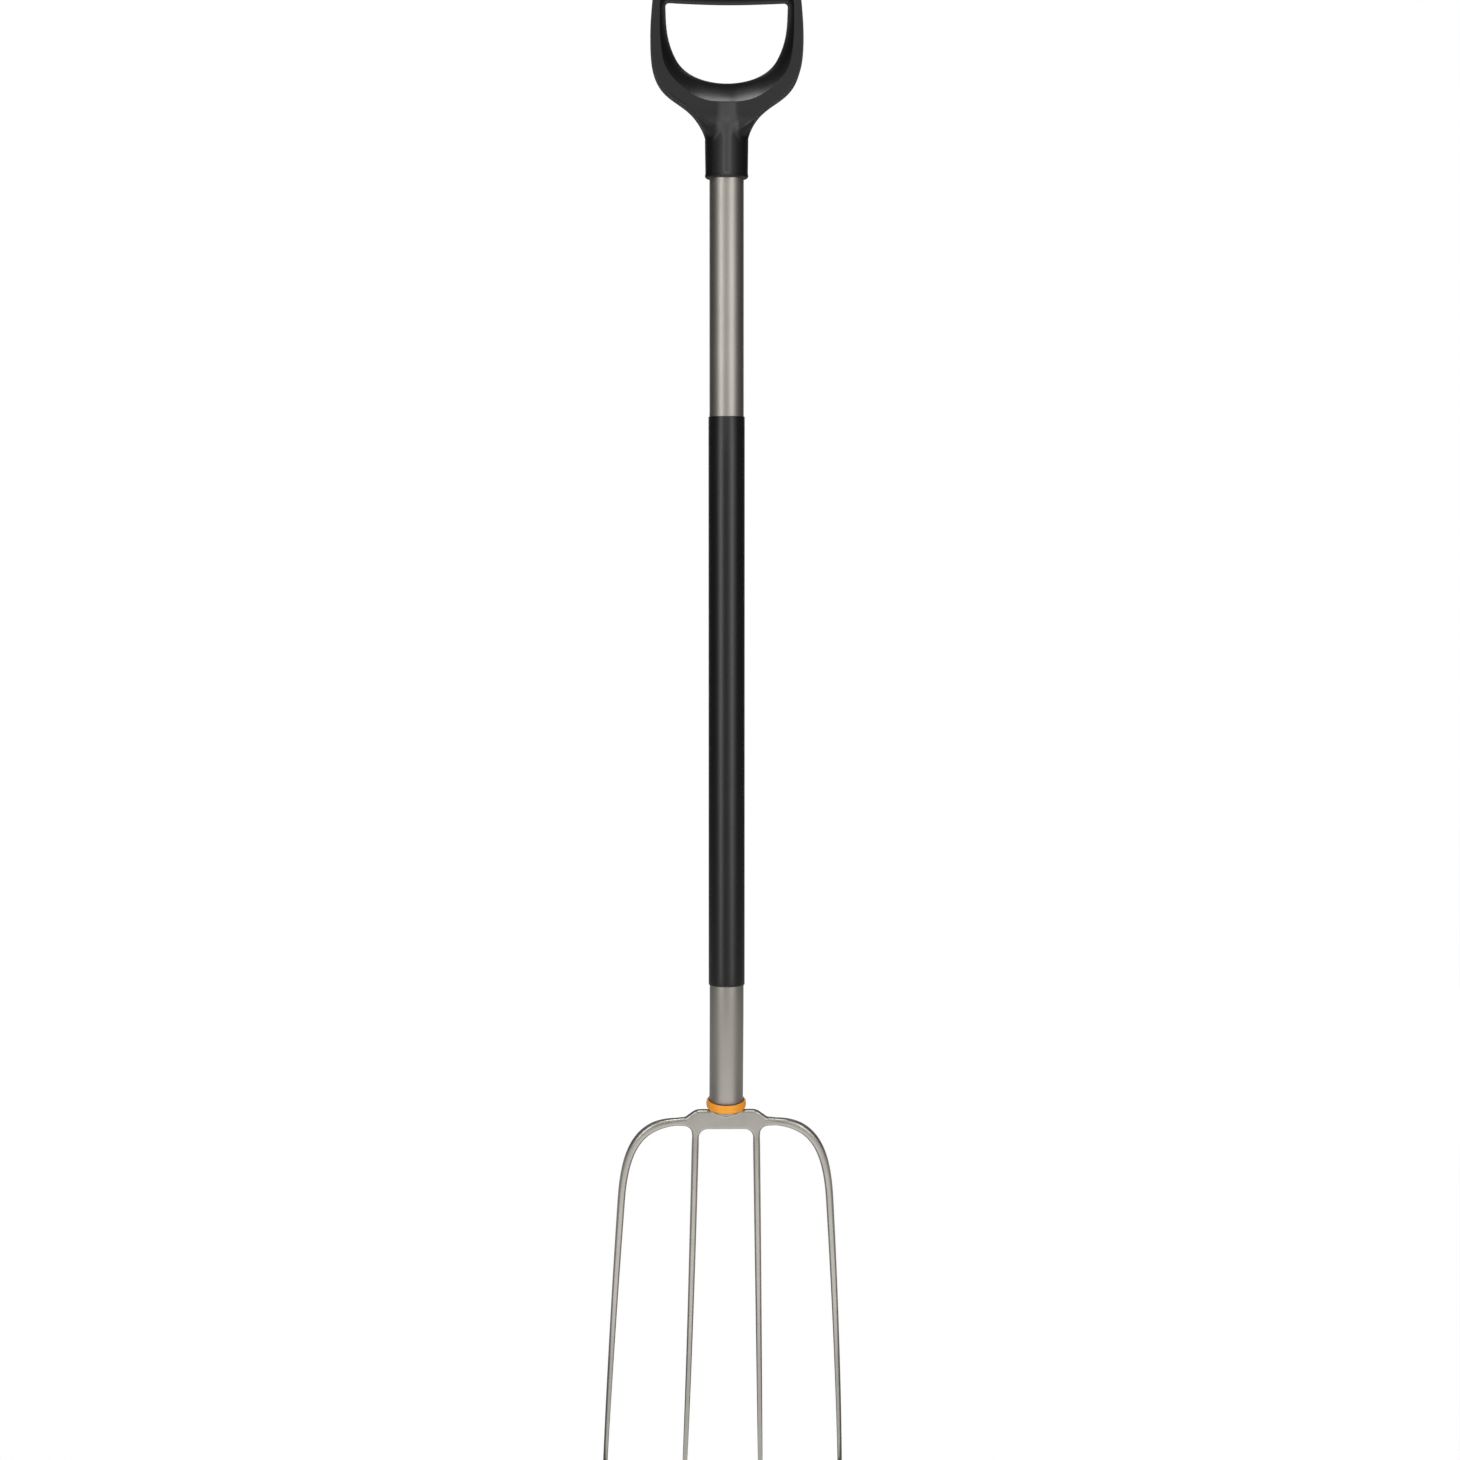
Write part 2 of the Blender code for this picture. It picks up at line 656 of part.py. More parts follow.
def round_corners(corners, steps):
    """A closed outline with each (x, y, radius) corner rounded by an arc of that radius."""
    points = []
    count = len(corners)
    for i, (x, y, radius) in enumerate(corners):
        corner = Vector((x, y))
        if radius == 0.0:
            points.append(corner)
            continue
        before = (Vector(corners[i - 1][:2]) - corner).normalized()
        after = (Vector(corners[(i + 1) % count][:2]) - corner).normalized()
        half_angle = 0.5 * before.angle(after)
        centre = corner + (before + after).normalized() * (radius / math.sin(half_angle))
        start = corner + before * (radius / math.tan(half_angle)) - centre
        end = corner + after * (radius / math.tan(half_angle)) - centre
        turn = math.atan2(start.x * end.y - start.y * end.x, start.dot(end))
        for step in range(steps + 1):
            angle = turn * step / steps
            cosine, sine = math.cos(angle), math.sin(angle)
            offset = Vector((start.x * cosine - start.y * sine, start.x * sine + start.y * cosine))
            points.append(centre + offset)
    return points


def make_web(group):
    """The flat web, with the roots of the four tines filleted into it."""
    right = [(x * MM, -down * MM, radius * MM) for x, down, radius in WEB_CORNERS]
    left = [(-x, y, radius) for x, y, radius in right[::-1]]
    outline = round_corners(right + left, 6)
    curve = bpy.data.curves.new("web", "CURVE")
    curve.dimensions = "2D"
    curve.fill_mode = "BOTH"
    curve.extrude = 0.5 * WEB_THICKNESS
    spline = curve.splines.new("POLY")
    spline.points.add(len(outline) - 1)
    for place, point in zip(spline.points, outline):
        place.co = (point.x, point.y, 0.0, 1.0)
    spline.use_cyclic_u = True
    item = bpy.data.objects.new("web", curve)
    group.objects.link(item)
    web = made_solid(group, item)
    bevel = web.modifiers.new("edges", "BEVEL")
    bevel.width = WEB_EDGE
    bevel.segments = 2
    bevel.limit_method = "ANGLE"
    bevel.angle_limit = math.radians(50.0)
    web.matrix_world = lower_frame(WEB_TOP) @ Matrix.Rotation(math.radians(90.0), 4, "X")
    return made_solid(group, web)


def head_surface(distance):
    """Height and depth of the tines' middle surface, and its lean, a distance below the web's top."""
    if distance <= FLAT_LENGTH:
        return -distance, 0.0, 0.0
    radius = TINE_ARC_LENGTH / TINE_ARC_ANGLE
    angle = (distance - FLAT_LENGTH) / radius
    return -FLAT_LENGTH - radius * math.sin(angle), radius * (1.0 - math.cos(angle)), angle


def tine_place(flat_point):
    """Puts a point of the flattened head on its curved middle surface."""
    height, depth, lean = head_surface(flat_point.y)
    place = Vector((flat_point.x, depth, height))
    facing = Vector((0.0, math.cos(lean), math.sin(lean)))
    return place, facing


def make_tine(group, name, segments, widths, depths, steps):
    centre = [point * MM for point in chain_points(segments, steps)]
    places = [tine_place(point) for point in centre]
    lengths = [0.0]
    for first, second in zip(centre, centre[1:]):
        lengths.append(lengths[-1] + (second - first).length)
    rings = []
    for i, (place, facing) in enumerate(places):
        before = places[max(i - 1, 0)][0]
        after = places[min(i + 1, len(places) - 1)][0]
        sideways = (after - before).cross(facing).normalized()
        taper = tip_taper(lengths[-1] - lengths[i])
        half_width = 0.5 * MM * table_value(widths, lengths[i] / MM) * taper
        half_depth = 0.5 * MM * table_value(depths, lengths[i] / MM) * taper
        rings.append(tine_section(place, sideways * half_width, facing * half_depth))
    tine = add_object(group, name, mesh_from_rings(name, rings, False))
    tine.matrix_world = lower_frame(WEB_TOP)
    return tine


def tip_taper(to_tip):
    """Share of the full section that is left at a distance from the tine's tip."""
    if to_tip > TIP_LENGTH:
        return 1.0
    return BLUNT_TIP + (1.0 - BLUNT_TIP) * math.sqrt(to_tip / TIP_LENGTH)


def tine_section(place, half_width, half_depth):
    """A section between a round and a square, round the tine's middle line."""
    ring = []
    for k in range(TINE_SIDES):
        angle = 2.0 * math.pi * (k + 0.5) / TINE_SIDES
        ring.append(place + half_width * squared(math.cos(angle)) + half_depth * squared(math.sin(angle)))
    return ring


def squared(value):
    """Pushes a circle's sine or cosine out towards a square's corners."""
    return math.copysign(abs(value) ** (2.0 / SECTION_SQUARENESS), value)


def mirrored_tine(group, tine, name):
    mesh = tine.data.copy()
    for vertex in mesh.vertices:
        vertex.co.x = -vertex.co.x
    mesh.flip_normals()
    other = add_object(group, name, mesh)
    other.matrix_world = tine.matrix_world.copy()
    return other


def make_neck(group):
    """The round neck under the ring, with a hollow foot that runs out on the web's faces."""
    top = WEB_TOP - RING_BOTTOM - GAP
    foot = [(radius * MM, height * MM) for radius, height in NECK_FOOT]
    neck = turned(group, "neck", [
        (0.0, top),
        (NECK_RADIUS - WEB_EDGE, top),
        (NECK_RADIUS, top - 0.8 * WEB_EDGE),
    ] + foot + [(0.0, foot[-1][1])], TURNED_STEPS)
    neck.matrix_world = lower_frame(WEB_TOP)
    return made_solid(group, neck)


def make_head(parts, cutters, material):
    web = make_web(parts)
    neck = make_neck(parts)
    tang = made_solid(parts, tang_bar(parts, "tang", 0.0))
    outer = make_tine(parts, "outer_tine", OUTER_TINE, OUTER_TINE_WIDTHS, OUTER_TINE_DEPTHS,
                      OUTER_TINE_STEPS)
    inner = make_tine(parts, "inner_tine", INNER_TINE, INNER_TINE_WIDTHS, INNER_TINE_DEPTHS,
                      INNER_TINE_STEPS)
    tines = [outer, mirrored_tine(parts, outer, "outer_tine_left"),
             inner, mirrored_tine(parts, inner, "inner_tine_left")]
    head = joined(parts, "fork_head", [web, neck, tang] + tines, material)
    hole = side_hole(cutters, "tang_rivet_hole", rivet_frame(), RIVET_SHANK_RADIUS + GAP,
                     RIVET_LENGTH + GAP)
    boolean(head, hole, "DIFFERENCE")
    finish(head)
    return head


def main():
    clear_scene()
    parts = make_collection("compost_fork")
    cutters = make_collection("cutters")
    materials = {name: make_material(name) for name in COLOURS}
    make_handle(parts, cutters, materials["charcoal_plastic"])
    make_screw(parts, cutters, materials["plated_steel"])
    make_tube(parts, cutters, materials["anodised_aluminium"])
    hollow_bar(parts, cutters, "shaft_sleeve", sleeve_path(), SLEEVE_RADIUS, TUBE_RADIUS + SLEEVE_GAP,
               materials["black_plastic"])
    make_ring(parts, materials["orange_plastic"])
    make_bush(parts, cutters, materials["pale_nylon"])
    make_rivet(parts, materials["plated_steel"])
    make_head(parts, cutters, materials["painted_steel"])


main()
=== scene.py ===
import math

import bmesh
import bpy
from mathutils import Matrix, Vector


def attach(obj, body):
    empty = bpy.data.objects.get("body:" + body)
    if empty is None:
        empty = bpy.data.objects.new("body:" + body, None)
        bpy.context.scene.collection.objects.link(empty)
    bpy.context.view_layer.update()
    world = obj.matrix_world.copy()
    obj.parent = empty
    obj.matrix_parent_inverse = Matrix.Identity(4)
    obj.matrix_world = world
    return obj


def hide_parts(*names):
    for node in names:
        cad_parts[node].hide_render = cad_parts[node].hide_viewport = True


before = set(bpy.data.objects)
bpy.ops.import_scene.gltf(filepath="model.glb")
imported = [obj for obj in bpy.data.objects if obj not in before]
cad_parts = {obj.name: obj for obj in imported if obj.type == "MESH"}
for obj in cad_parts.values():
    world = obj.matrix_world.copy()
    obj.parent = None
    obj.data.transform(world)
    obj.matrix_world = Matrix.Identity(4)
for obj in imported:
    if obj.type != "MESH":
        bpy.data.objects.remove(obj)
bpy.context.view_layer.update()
scene = bpy.context.scene
mm = 0.001
print("frame loaded:", ", ".join(sorted(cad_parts)))


# Small helpers for meshes, curves and node trees

def linearColour(hexText):
    values = [int(hexText[i:i + 2], 16) / 255.0 for i in (1, 3, 5)]
    linear = [v / 12.92 if v <= 0.04045 else ((v + 0.055) / 1.055) ** 2.4 for v in values]
    return (*linear, 1.0)


def smoothStep(value):
    value = min(max(value, 0.0), 1.0)
    return value * value * (3.0 - 2.0 * value)


def tableValue(table, position):
    for (start, low), (end, high) in zip(table, table[1:]):
        if position <= end:
            return low + (high - low) * (position - start) / (end - start)
    return table[-1][1]


def chainPoints(segments, steps):
    # Points in metres along a chain of cubic curves that are written in mm
    points = []
    for segment, count in zip(segments, steps):
        a, b, c, d = (Vector(point) * mm for point in segment)
        for i in range(1 if points else 0, count + 1):
            t = i / count
            rest = 1.0 - t
            points.append(a * rest ** 3 + b * 3.0 * rest ** 2 * t
                          + c * 3.0 * rest * t ** 2 + d * t ** 3)
    return points


def shadeSmooth(mesh, sharpDegrees=None):
    mesh.shade_smooth()
    if sharpDegrees:
        mesh.set_sharp_from_angle(angle=math.radians(sharpDegrees))


def addMesh(name, form, sharpDegrees=None):
    bmesh.ops.recalc_face_normals(form, faces=form.faces)
    mesh = bpy.data.meshes.new(name)
    form.to_mesh(mesh)
    form.free()
    shadeSmooth(mesh, sharpDegrees)
    piece = bpy.data.objects.new(name, mesh)
    scene.collection.objects.link(piece)
    return piece


def addRings(form, rings, closed):
    # Quads between rings of points: the last ring joins the first, or both ends are capped
    rows = [[form.verts.new(point) for point in ring] for ring in rings]
    count = len(rows[0])
    for i in range(len(rows) if closed else len(rows) - 1):
        low, high = rows[i], rows[(i + 1) % len(rows)]
        for j in range(count):
            k = (j + 1) % count
            form.faces.new((low[j], low[k], high[k], high[j]))
    if not closed:
        form.faces.new(rows[0][::-1])
        form.faces.new(rows[-1])


def raised(place, height):
    # A place moved along its own Z, by a height in mm
    return place @ Matrix.Translation((0.0, 0.0, height * mm))


def ringPoints(place, radius, sides):
    angles = [2.0 * math.pi * k / sides for k in range(sides)]
    return [place @ Vector((radius * math.cos(a), radius * math.sin(a), 0.0)) for a in angles]


def addTurned(form, profile, place, sides, closed):
    # Turns (radius, height) pairs in mm about the own Z of a place
    rings = [ringPoints(raised(place, height), radius * mm, sides) for radius, height in profile]
    addRings(form, rings, closed)


def roundedProfile(corners, steps):
    # A closed (radius, height) loop in mm whose corners are rounded by the third value
    points = []
    for i, (x, y, radius) in enumerate(corners):
        corner = Vector((x, y))
        if radius == 0.0:
            points.append((x, y))
            continue
        before = (Vector(corners[i - 1][:2]) - corner).normalized()
        after = (Vector(corners[(i + 1) % len(corners)][:2]) - corner).normalized()
        halfAngle = 0.5 * before.angle(after)
        centre = corner + (before + after).normalized() * (radius / math.sin(halfAngle))
        start = corner + before * (radius / math.tan(halfAngle)) - centre
        end = corner + after * (radius / math.tan(halfAngle)) - centre
        turn = math.atan2(start.x * end.y - start.y * end.x, start.dot(end))
        for step in range(steps + 1):
            cosine, sine = math.cos(turn * step / steps), math.sin(turn * step / steps)
            points.append((centre.x + start.x * cosine - start.y * sine,
                           centre.y + start.x * sine + start.y * cosine))
    return points


def evaluatedMesh(item):
    bpy.context.view_layer.update()
    graph = bpy.context.evaluated_depsgraph_get()
    return bpy.data.meshes.new_from_object(item.evaluated_get(graph))


def applyModifiers(piece):
    mesh = evaluatedMesh(piece)
    piece.modifiers.clear()
    piece.data = mesh


def turnedCutter(name, place, profile, sides):
    form = bmesh.new()
    addTurned(form, profile, place, sides, False)
    return addMesh(name, form)


def cutAway(piece, cutters, sharpDegrees):
    for cutter in cutters:
        step = piece.modifiers.new("cut", "BOOLEAN")
        step.operation = "DIFFERENCE"
        step.solver = "EXACT"
        step.object = cutter
    applyModifiers(piece)
    for cutter in cutters:
        bpy.data.objects.remove(cutter, do_unlink=True)
    shadeSmooth(piece.data, sharpDegrees)


def addNode(tree, kind, settings=None, links=None):
    # settings: node properties, socket values by name or number, or stops for a colour ramp
    node = tree.nodes.new(kind)
    for name, value in (settings or {}).items():
        if name == "stops":
            ramp = node.color_ramp
            while len(ramp.elements) < len(value):
                ramp.elements.new(0.5)
            for element, (position, colour) in zip(ramp.elements, value):
                element.position = position
                element.color = colour
        elif isinstance(name, int) or name in node.inputs:
            node.inputs[name].default_value = value
        else:
            setattr(node, name, value)
    for name, source in (links or {}).items():
        tree.links.new(source, node.inputs[name])
    return node


def newMaterial(name):
    material = bpy.data.materials.new(name)
    material.use_nodes = True
    tree = material.node_tree
    return material, tree, tree.nodes["Principled BSDF"]


def setMaterial(piece, material):
    piece.data.materials.clear()
    piece.data.materials.append(material)


# Camera, at the photograph's height and slope

cameraView = {
    "lens": 74.107,            # mm
    "sensorWidth": 36.0,
    "distance": 2.200,         # m
    "height": -0.3974,
    "left": 0.0538,
    "downDegrees": 2.8,
    "rightDegrees": 1.465,
    "shiftUp": -0.02,
}

cameraData = bpy.data.cameras.new("studioCamera")
cameraData.sensor_width = cameraView["sensorWidth"]
cameraData.lens = cameraView["lens"]
cameraData.shift_y = cameraView["shiftUp"]
cameraData.dof.use_dof = False
camera = bpy.data.objects.new("studioCamera", cameraData)
camera.location = (-cameraView["left"], -cameraView["distance"], cameraView["height"])
camera.rotation_euler = (math.radians(90.0 - cameraView["downDegrees"]), 0.0,
                         -math.radians(cameraView["rightDegrees"]))
scene.collection.objects.link(camera)
scene.camera = camera
scene.view_settings.view_transform = "Standard"
print("camera placed")


# Shaft: one tube with a bend near its foot, and the frames that its fittings share

shaft = {
    "tubeRadius": 12.5,
    "tubeWall": 1.6,
    "tubeTop": -78.0,
    "bendStart": -705.0,
    "bendRadius": 240.0,
    "bendDegrees": 12.0,
    "belowBend": 52.2,         # straight tube under the bend
    "straightSteps": 12,
    "bendSteps": 24,
    "sleeveRadius": 13.25,
    "sleeveBore": 12.75,
    "sleeveTop": -297.5,
    "sleeveLength": 416.5,
    "sleeveStraightSteps": 10,
    "sleeveBendSteps": 6,
    "endEdge": 0.3,            # rounding of the tube's and the sleeve's ends
    "sides": 96,
    "sharpDegrees": 40.0,
}
bendAngle = math.radians(shaft["bendDegrees"])


def bendFrame(angle):
    y = shaft["bendRadius"] * (1.0 - math.cos(angle))
    z = shaft["bendStart"] - shaft["bendRadius"] * math.sin(angle)
    return Matrix.Translation((0.0, y * mm, z * mm)) @ Matrix.Rotation(angle, 4, "X")


def lowerFrame(distance):
    # On the tube's lower stretch, a distance in mm below its bend; own -Z runs down the tube
    return raised(bendFrame(bendAngle), -distance)


def straightFrame(z):
    return Matrix.Translation((0.0, 0.0, z * mm))


def shaftPlaces(top, straightSteps, angle, bendSteps):
    # Places from a height down the straight stretch, and on round the bend by an angle
    run = shaft["bendStart"] - top
    straight = [straightFrame(top + run * i / straightSteps) for i in range(straightSteps)]
    return straight + [bendFrame(angle * i / bendSteps) for i in range(bendSteps + 1)]


def addPipe(name, places, radius, bore):
    # A pipe along its places, its outside first, with rounded ends and its bore back up
    edge, sides = shaft["endEdge"], shaft["sides"]
    lip = ((0.0, 1.0), (0.3, 0.3), (1.0, 0.0))     # shares of the edge: along the pipe, off its radius
    rings = [ringPoints(raised(places[0], -forward * edge), (radius - off * edge) * mm, sides)
             for forward, off in lip]
    rings += [ringPoints(place, radius * mm, sides) for place in places[1:-1]]
    rings += [ringPoints(raised(places[-1], forward * edge), (radius - off * edge) * mm, sides)
              for forward, off in lip[::-1]]
    rings += [ringPoints(place, bore * mm, sides) for place in places[::-1]]
    form = bmesh.new()
    addRings(form, rings, True)
    return addMesh(name, form, shaft["sharpDegrees"])


# Where the screw and the rivet go in from behind, and the holes that they need
fixings = {
    "screwHeight": -108.0,
    "screwOut": 14.4,          # from the tube's axis to the underside of the head
    "screwHole": ((2.3, 6.0), (2.3, -9.0)),
    "screwSeat": ((4.6, 6.0), (4.6, -0.3), (2.3, -0.3), (2.3, -6.0)),
    "rivetBelow": 30.0,        # below the bend
    "rivetOut": 12.7,
    "rivetHole": ((2.5, 6.0), (2.5, -2.4)),
    "sides": 48,
}
towardsBack = Matrix.Rotation(math.radians(-90.0), 4, "X")      # turns own Z to +Y
screwFrame = Matrix.Translation((0.0, fixings["screwOut"] * mm, fixings["screwHeight"] * mm))
screwFrame = screwFrame @ towardsBack
rivetFrame = lowerFrame(fixings["rivetBelow"]) @ Matrix.Translation((0.0, fixings["rivetOut"] * mm, 0.0))
rivetFrame = rivetFrame @ towardsBack

places = shaftPlaces(shaft["tubeTop"], shaft["straightSteps"], bendAngle, shaft["bendSteps"])
places.append(lowerFrame(shaft["belowBend"]))
shaftTube = addPipe("shaftTube", places, shaft["tubeRadius"], shaft["tubeRadius"] - shaft["tubeWall"])
cutAway(shaftTube, [
    turnedCutter("tubeScrewHole", screwFrame, fixings["screwHole"], fixings["sides"]),
    turnedCutter("tubeRivetHole", rivetFrame, fixings["rivetHole"], fixings["sides"]),
], shaft["sharpDegrees"])

sleeveStraight = shaft["sleeveTop"] - shaft["bendStart"]
sleeveAngle = (shaft["sleeveLength"] - sleeveStraight) / shaft["bendRadius"]
places = shaftPlaces(shaft["sleeveTop"], shaft["sleeveStraightSteps"], sleeveAngle,
                     shaft["sleeveBendSteps"])
shaftSleeve = addPipe("shaftSleeve", places, shaft["sleeveRadius"], shaft["sleeveBore"])
print("shaft and sleeve made")


# Collar: a rounded band round the tube's foot, with a flange under it

collar = {
    "bottom": 54.5,            # below the bend
    "sides": 96,
    "cornerSteps": 6,
    "sharpDegrees": 50.0,
    "profile": (
        (8.6, 0.0, 0.3), (13.6, 0.0, 1.0), (14.55, 1.1, 1.4), (14.85, 3.3, 5.0), (14.55, 5.3, 1.2),
        (13.9, 6.3, 0.5), (13.1, 6.3, 0.3), (12.8, 5.6, 0.2), (12.8, 2.0, 0.0), (8.6, 2.0, 0.3),
    ),
}
form = bmesh.new()
addTurned(form, roundedProfile(collar["profile"], collar["cornerSteps"]), lowerFrame(collar["bottom"]),
          collar["sides"], True)
collarRing = addMesh("collarRing", form, collar["sharpDegrees"])
print("collar made")


# D-handle: lofted round its opening, from the grip's middle down to the socket's end

handle = {
    "gripHalfDepth": 14.0,
    "armHalfDepth": 12.5,
    "neckHalfDepth": 13.4,
    "ridgeTop": 13.9,          # half depth of the ridge under the opening; it rises to the socket
    "ridgeRadius": 22.0,
    "noseRadius": 7.0,         # the socket is keeled: a small nose, straight flanks and round sides
    "noseDegrees": 34.0,
    "noseReach": 9.77,         # half width where the flanks meet the round sides
    "sideDepth": 13.55,        # half depth where the round sides start
    "ridgeBlend": 0.5,
    "valleyBlend": 2.0,        # fills the valley beside the ridge while the section turns round
    "valleyScale": 6.75,       # makes that fill peak at 1
    "thinnestHalf": 0.25,
    # Heights where a change down the handle starts, and the span that it takes
    "neckFrom": -45.0,
    "neckSpan": 40.0,
    "ridgeFrom": -52.0,
    "ridgeSpan": 4.0,
    "noseFrom": -72.0,
    "noseSpan": 27.0,
    "rimFrom": -78.0,
    "rimSpan": 16.0,
    "roundFrom": -81.0,
    "roundSpan": 18.0,
    "gripLead": 2,             # rows by which the grip's round section reaches into the corner
    # Socket, with a small lip at its foot
    "socketTop": -96.5,
    "socketRadius": 15.8,
    "footRadius": 15.45,
    "lipRadius": 15.78,
    "lipTop": -122.7,
    "lipEdge": -123.05,
    "lipClear": 0.3,
    "bottom": -125.4,
    "rim": 2.2,
    "rimPoints": 6,
    "bore":((12.8, 47.7), (12.8, 0.3), (13.2, -0.1), (13.2, -6.0)),
    "boreSides": 96,
    # Section: a bevel in the opening, a flat face, a rounded edge and a wall
    "bevelBend": 0.51,         # share of the bevel that is a straight slope
    "bevelPower": 1.75,        # roundness of the rest: 2 is an ellipse
    "bevelPoints": 14,
    "creaseGap": 0.1,          # a row of points this close to the crease keeps its shading crisp
    "facePoints": 44,
    "faceEnd": 0.985,          # where the last two rows of the face stand
    "faceEdge": 0.99,
    "flankFrom": 6.0,          # half widths where the socket's rows begin to crowd to its sides
    "flankSpan": 8.0,
    "armEdge": 0.9,
    "edgeLimit": 0.999,        # the edge takes up no more than this share of the face
    "edgePoints": 8,
    "wallShares": (0.66, 0.33),
    "sharpDegrees": 48.0,
    # Outlines from the grip's middle to the socket's top; the crease is where the bevel meets the face
    "steps": (14, 16, 12, 20, 14, 20, 20),     # sections in each stretch
    "inner": (
        ((0.0, -0.1), (14.0, -0.1), (27.0, 0.5), (41.2, 1.2)),
        ((41.2, 1.2), (43.0, 1.3), (44.3, 0.2), (44.3, -1.8)),
        ((44.3, -1.8), (43.9, -14.8), (44.0, -25.8), (36.7, -39.5)),
        ((36.7, -39.5), (30.5, -50.8), (17.4, -55.4), (4.0, -56.4)),
        ((4.0, -56.4), (2.7, -56.5), (1.3, -56.5), (0.0, -56.5)),
    ),
    "crease": (
        ((0.0, 14.0), (12.0, 14.0), (26.0, 14.0), (38.0, 13.2)),
        ((38.0, 13.2), (44.0, 12.0), (48.0, 6.0), (48.3, -1.8)),
        ((48.3, -1.8), (48.6, -14.0), (48.9, -29.0), (46.2, -42.0)),
        ((46.2, -42.0), (44.2, -50.0), (36.5, -58.8), (25.4, -65.9)),
        ((25.4, -65.9), (20.6, -68.9), (15.0, -70.5), (10.0, -71.0)),
        ((10.0, -71.0), (6.5, -71.3), (3.3, -71.4), (0.0, -71.4)),
    ),
    "outer": (
        ((0.0, 28.0), (12.0, 28.0), (22.0, 27.8), (34.0, 26.4)),
        ((34.0, 26.4), (44.6, 25.1), (51.0, 20.2), (52.9, 9.5)),
        ((52.9, 9.5), (54.6, -6.3), (56.6, -24.9), (54.4, -42.0)),
        ((54.4, -42.0), (49.6, -74.9), (23.7, -64.4), (15.7, -96.5)),
    ),
}


def socketSide(steps):
    # The socket's outline from its top down its slight taper, and along its foot to the middle
    top = Vector((handle["socketRadius"], handle["socketTop"]))
    foot = Vector((handle["footRadius"], handle["lipTop"]))
    side = [top.lerp(foot, (i + 1) / (steps - 1)) for i in range(steps - 1)]
    side.append(Vector((handle["lipRadius"], handle["lipEdge"])))
    rim = handle["rim"]
    edge = handle["lipRadius"] - rim
    end = []
    for i in range(handle["rimPoints"]):
        angle = 0.5 * math.pi * i / (handle["rimPoints"] - 1)
        end.append(Vector((edge + rim * math.cos(angle),
                           handle["bottom"] + rim - rim * math.sin(angle))))
    count = steps - len(end)
    end += [Vector((edge * (1.0 - (i + 1) / count), handle["bottom"])) for i in range(count)]
    return [point * mm for point in side + end]


def smoothMax(a, b, blend):
    return 0.5 * (a + b + math.sqrt((a - b) ** 2 + blend ** 2))


def noseDepth(x, top, radius):
    # Half depth of a ridge: a round nose whose flanks run on straight
    limit = math.radians(handle["noseDegrees"])
    edge = radius * math.sin(limit)
    if abs(x) < edge:
        return top - radius + math.sqrt(radius ** 2 - x ** 2)
    return top - radius * (1.0 - math.cos(limit)) - (abs(x) - edge) * math.tan(limit)


def handleShare(place, name):
    # How far a change down the handle has gone at a place, from 0 to 1
    return smoothStep((handle[name + "From"] * mm - place.y) / (handle[name + "Span"] * mm))


def handleDepth(place, share, drop, gripShare, outline):
    # Half thickness: flat on the arms, a low ridge on the neck, round at the socket
    flat = handle["armHalfDepth"] * mm
    flat += (handle["neckHalfDepth"] - handle["armHalfDepth"]) * mm * handleShare(place, "neck")
    flat += (handle["gripHalfDepth"] * mm - flat) * gripShare
    down = handleShare(place, "nose")
    ridgeTop = (handle["ridgeTop"] + (handle["socketRadius"] - handle["ridgeTop"]) * down) * mm
    ridgeRadius = (handle["ridgeRadius"] + (handle["noseRadius"] - handle["ridgeRadius"]) * down) * mm
    ridge = noseDepth(place.x, ridgeTop, ridgeRadius)
    turn = handleShare(place, "round")
    if turn > 0.0:
        # The flat face's rounded corners grow inwards until the section is round
        width = tableValue(outline, -place.y)
        size = min(width / (handle["socketRadius"] * mm), 1.0)
        side = handle["sideDepth"] * mm * size
        flat += (side - flat) * turn
        beyond = (abs(place.x) - width) / (width * turn) + 1.0
        if beyond > 0.0:
            flat *= 1.0 - turn * (1.0 - math.sqrt(max(1.0 - beyond ** 2, 0.0)))
        if abs(place.x) < handle["noseReach"] * mm * size:
            ridge = size * noseDepth(place.x / size, ridgeTop, ridgeRadius)
        else:
            ridge = side * math.sqrt(max(1.0 - (place.x / width) ** 2, 0.0))
    valley = handle["valleyScale"] * turn * (1.0 - turn) ** 2
    blend = (handle["ridgeBlend"] * (1.0 - turn) + handle["valleyBlend"] * valley) * mm
    top = flat + (smoothMax(flat, ridge, blend) - flat) * handleShare(place, "ridge")
    return max(top * share - drop, handle["thinnestHalf"] * mm)


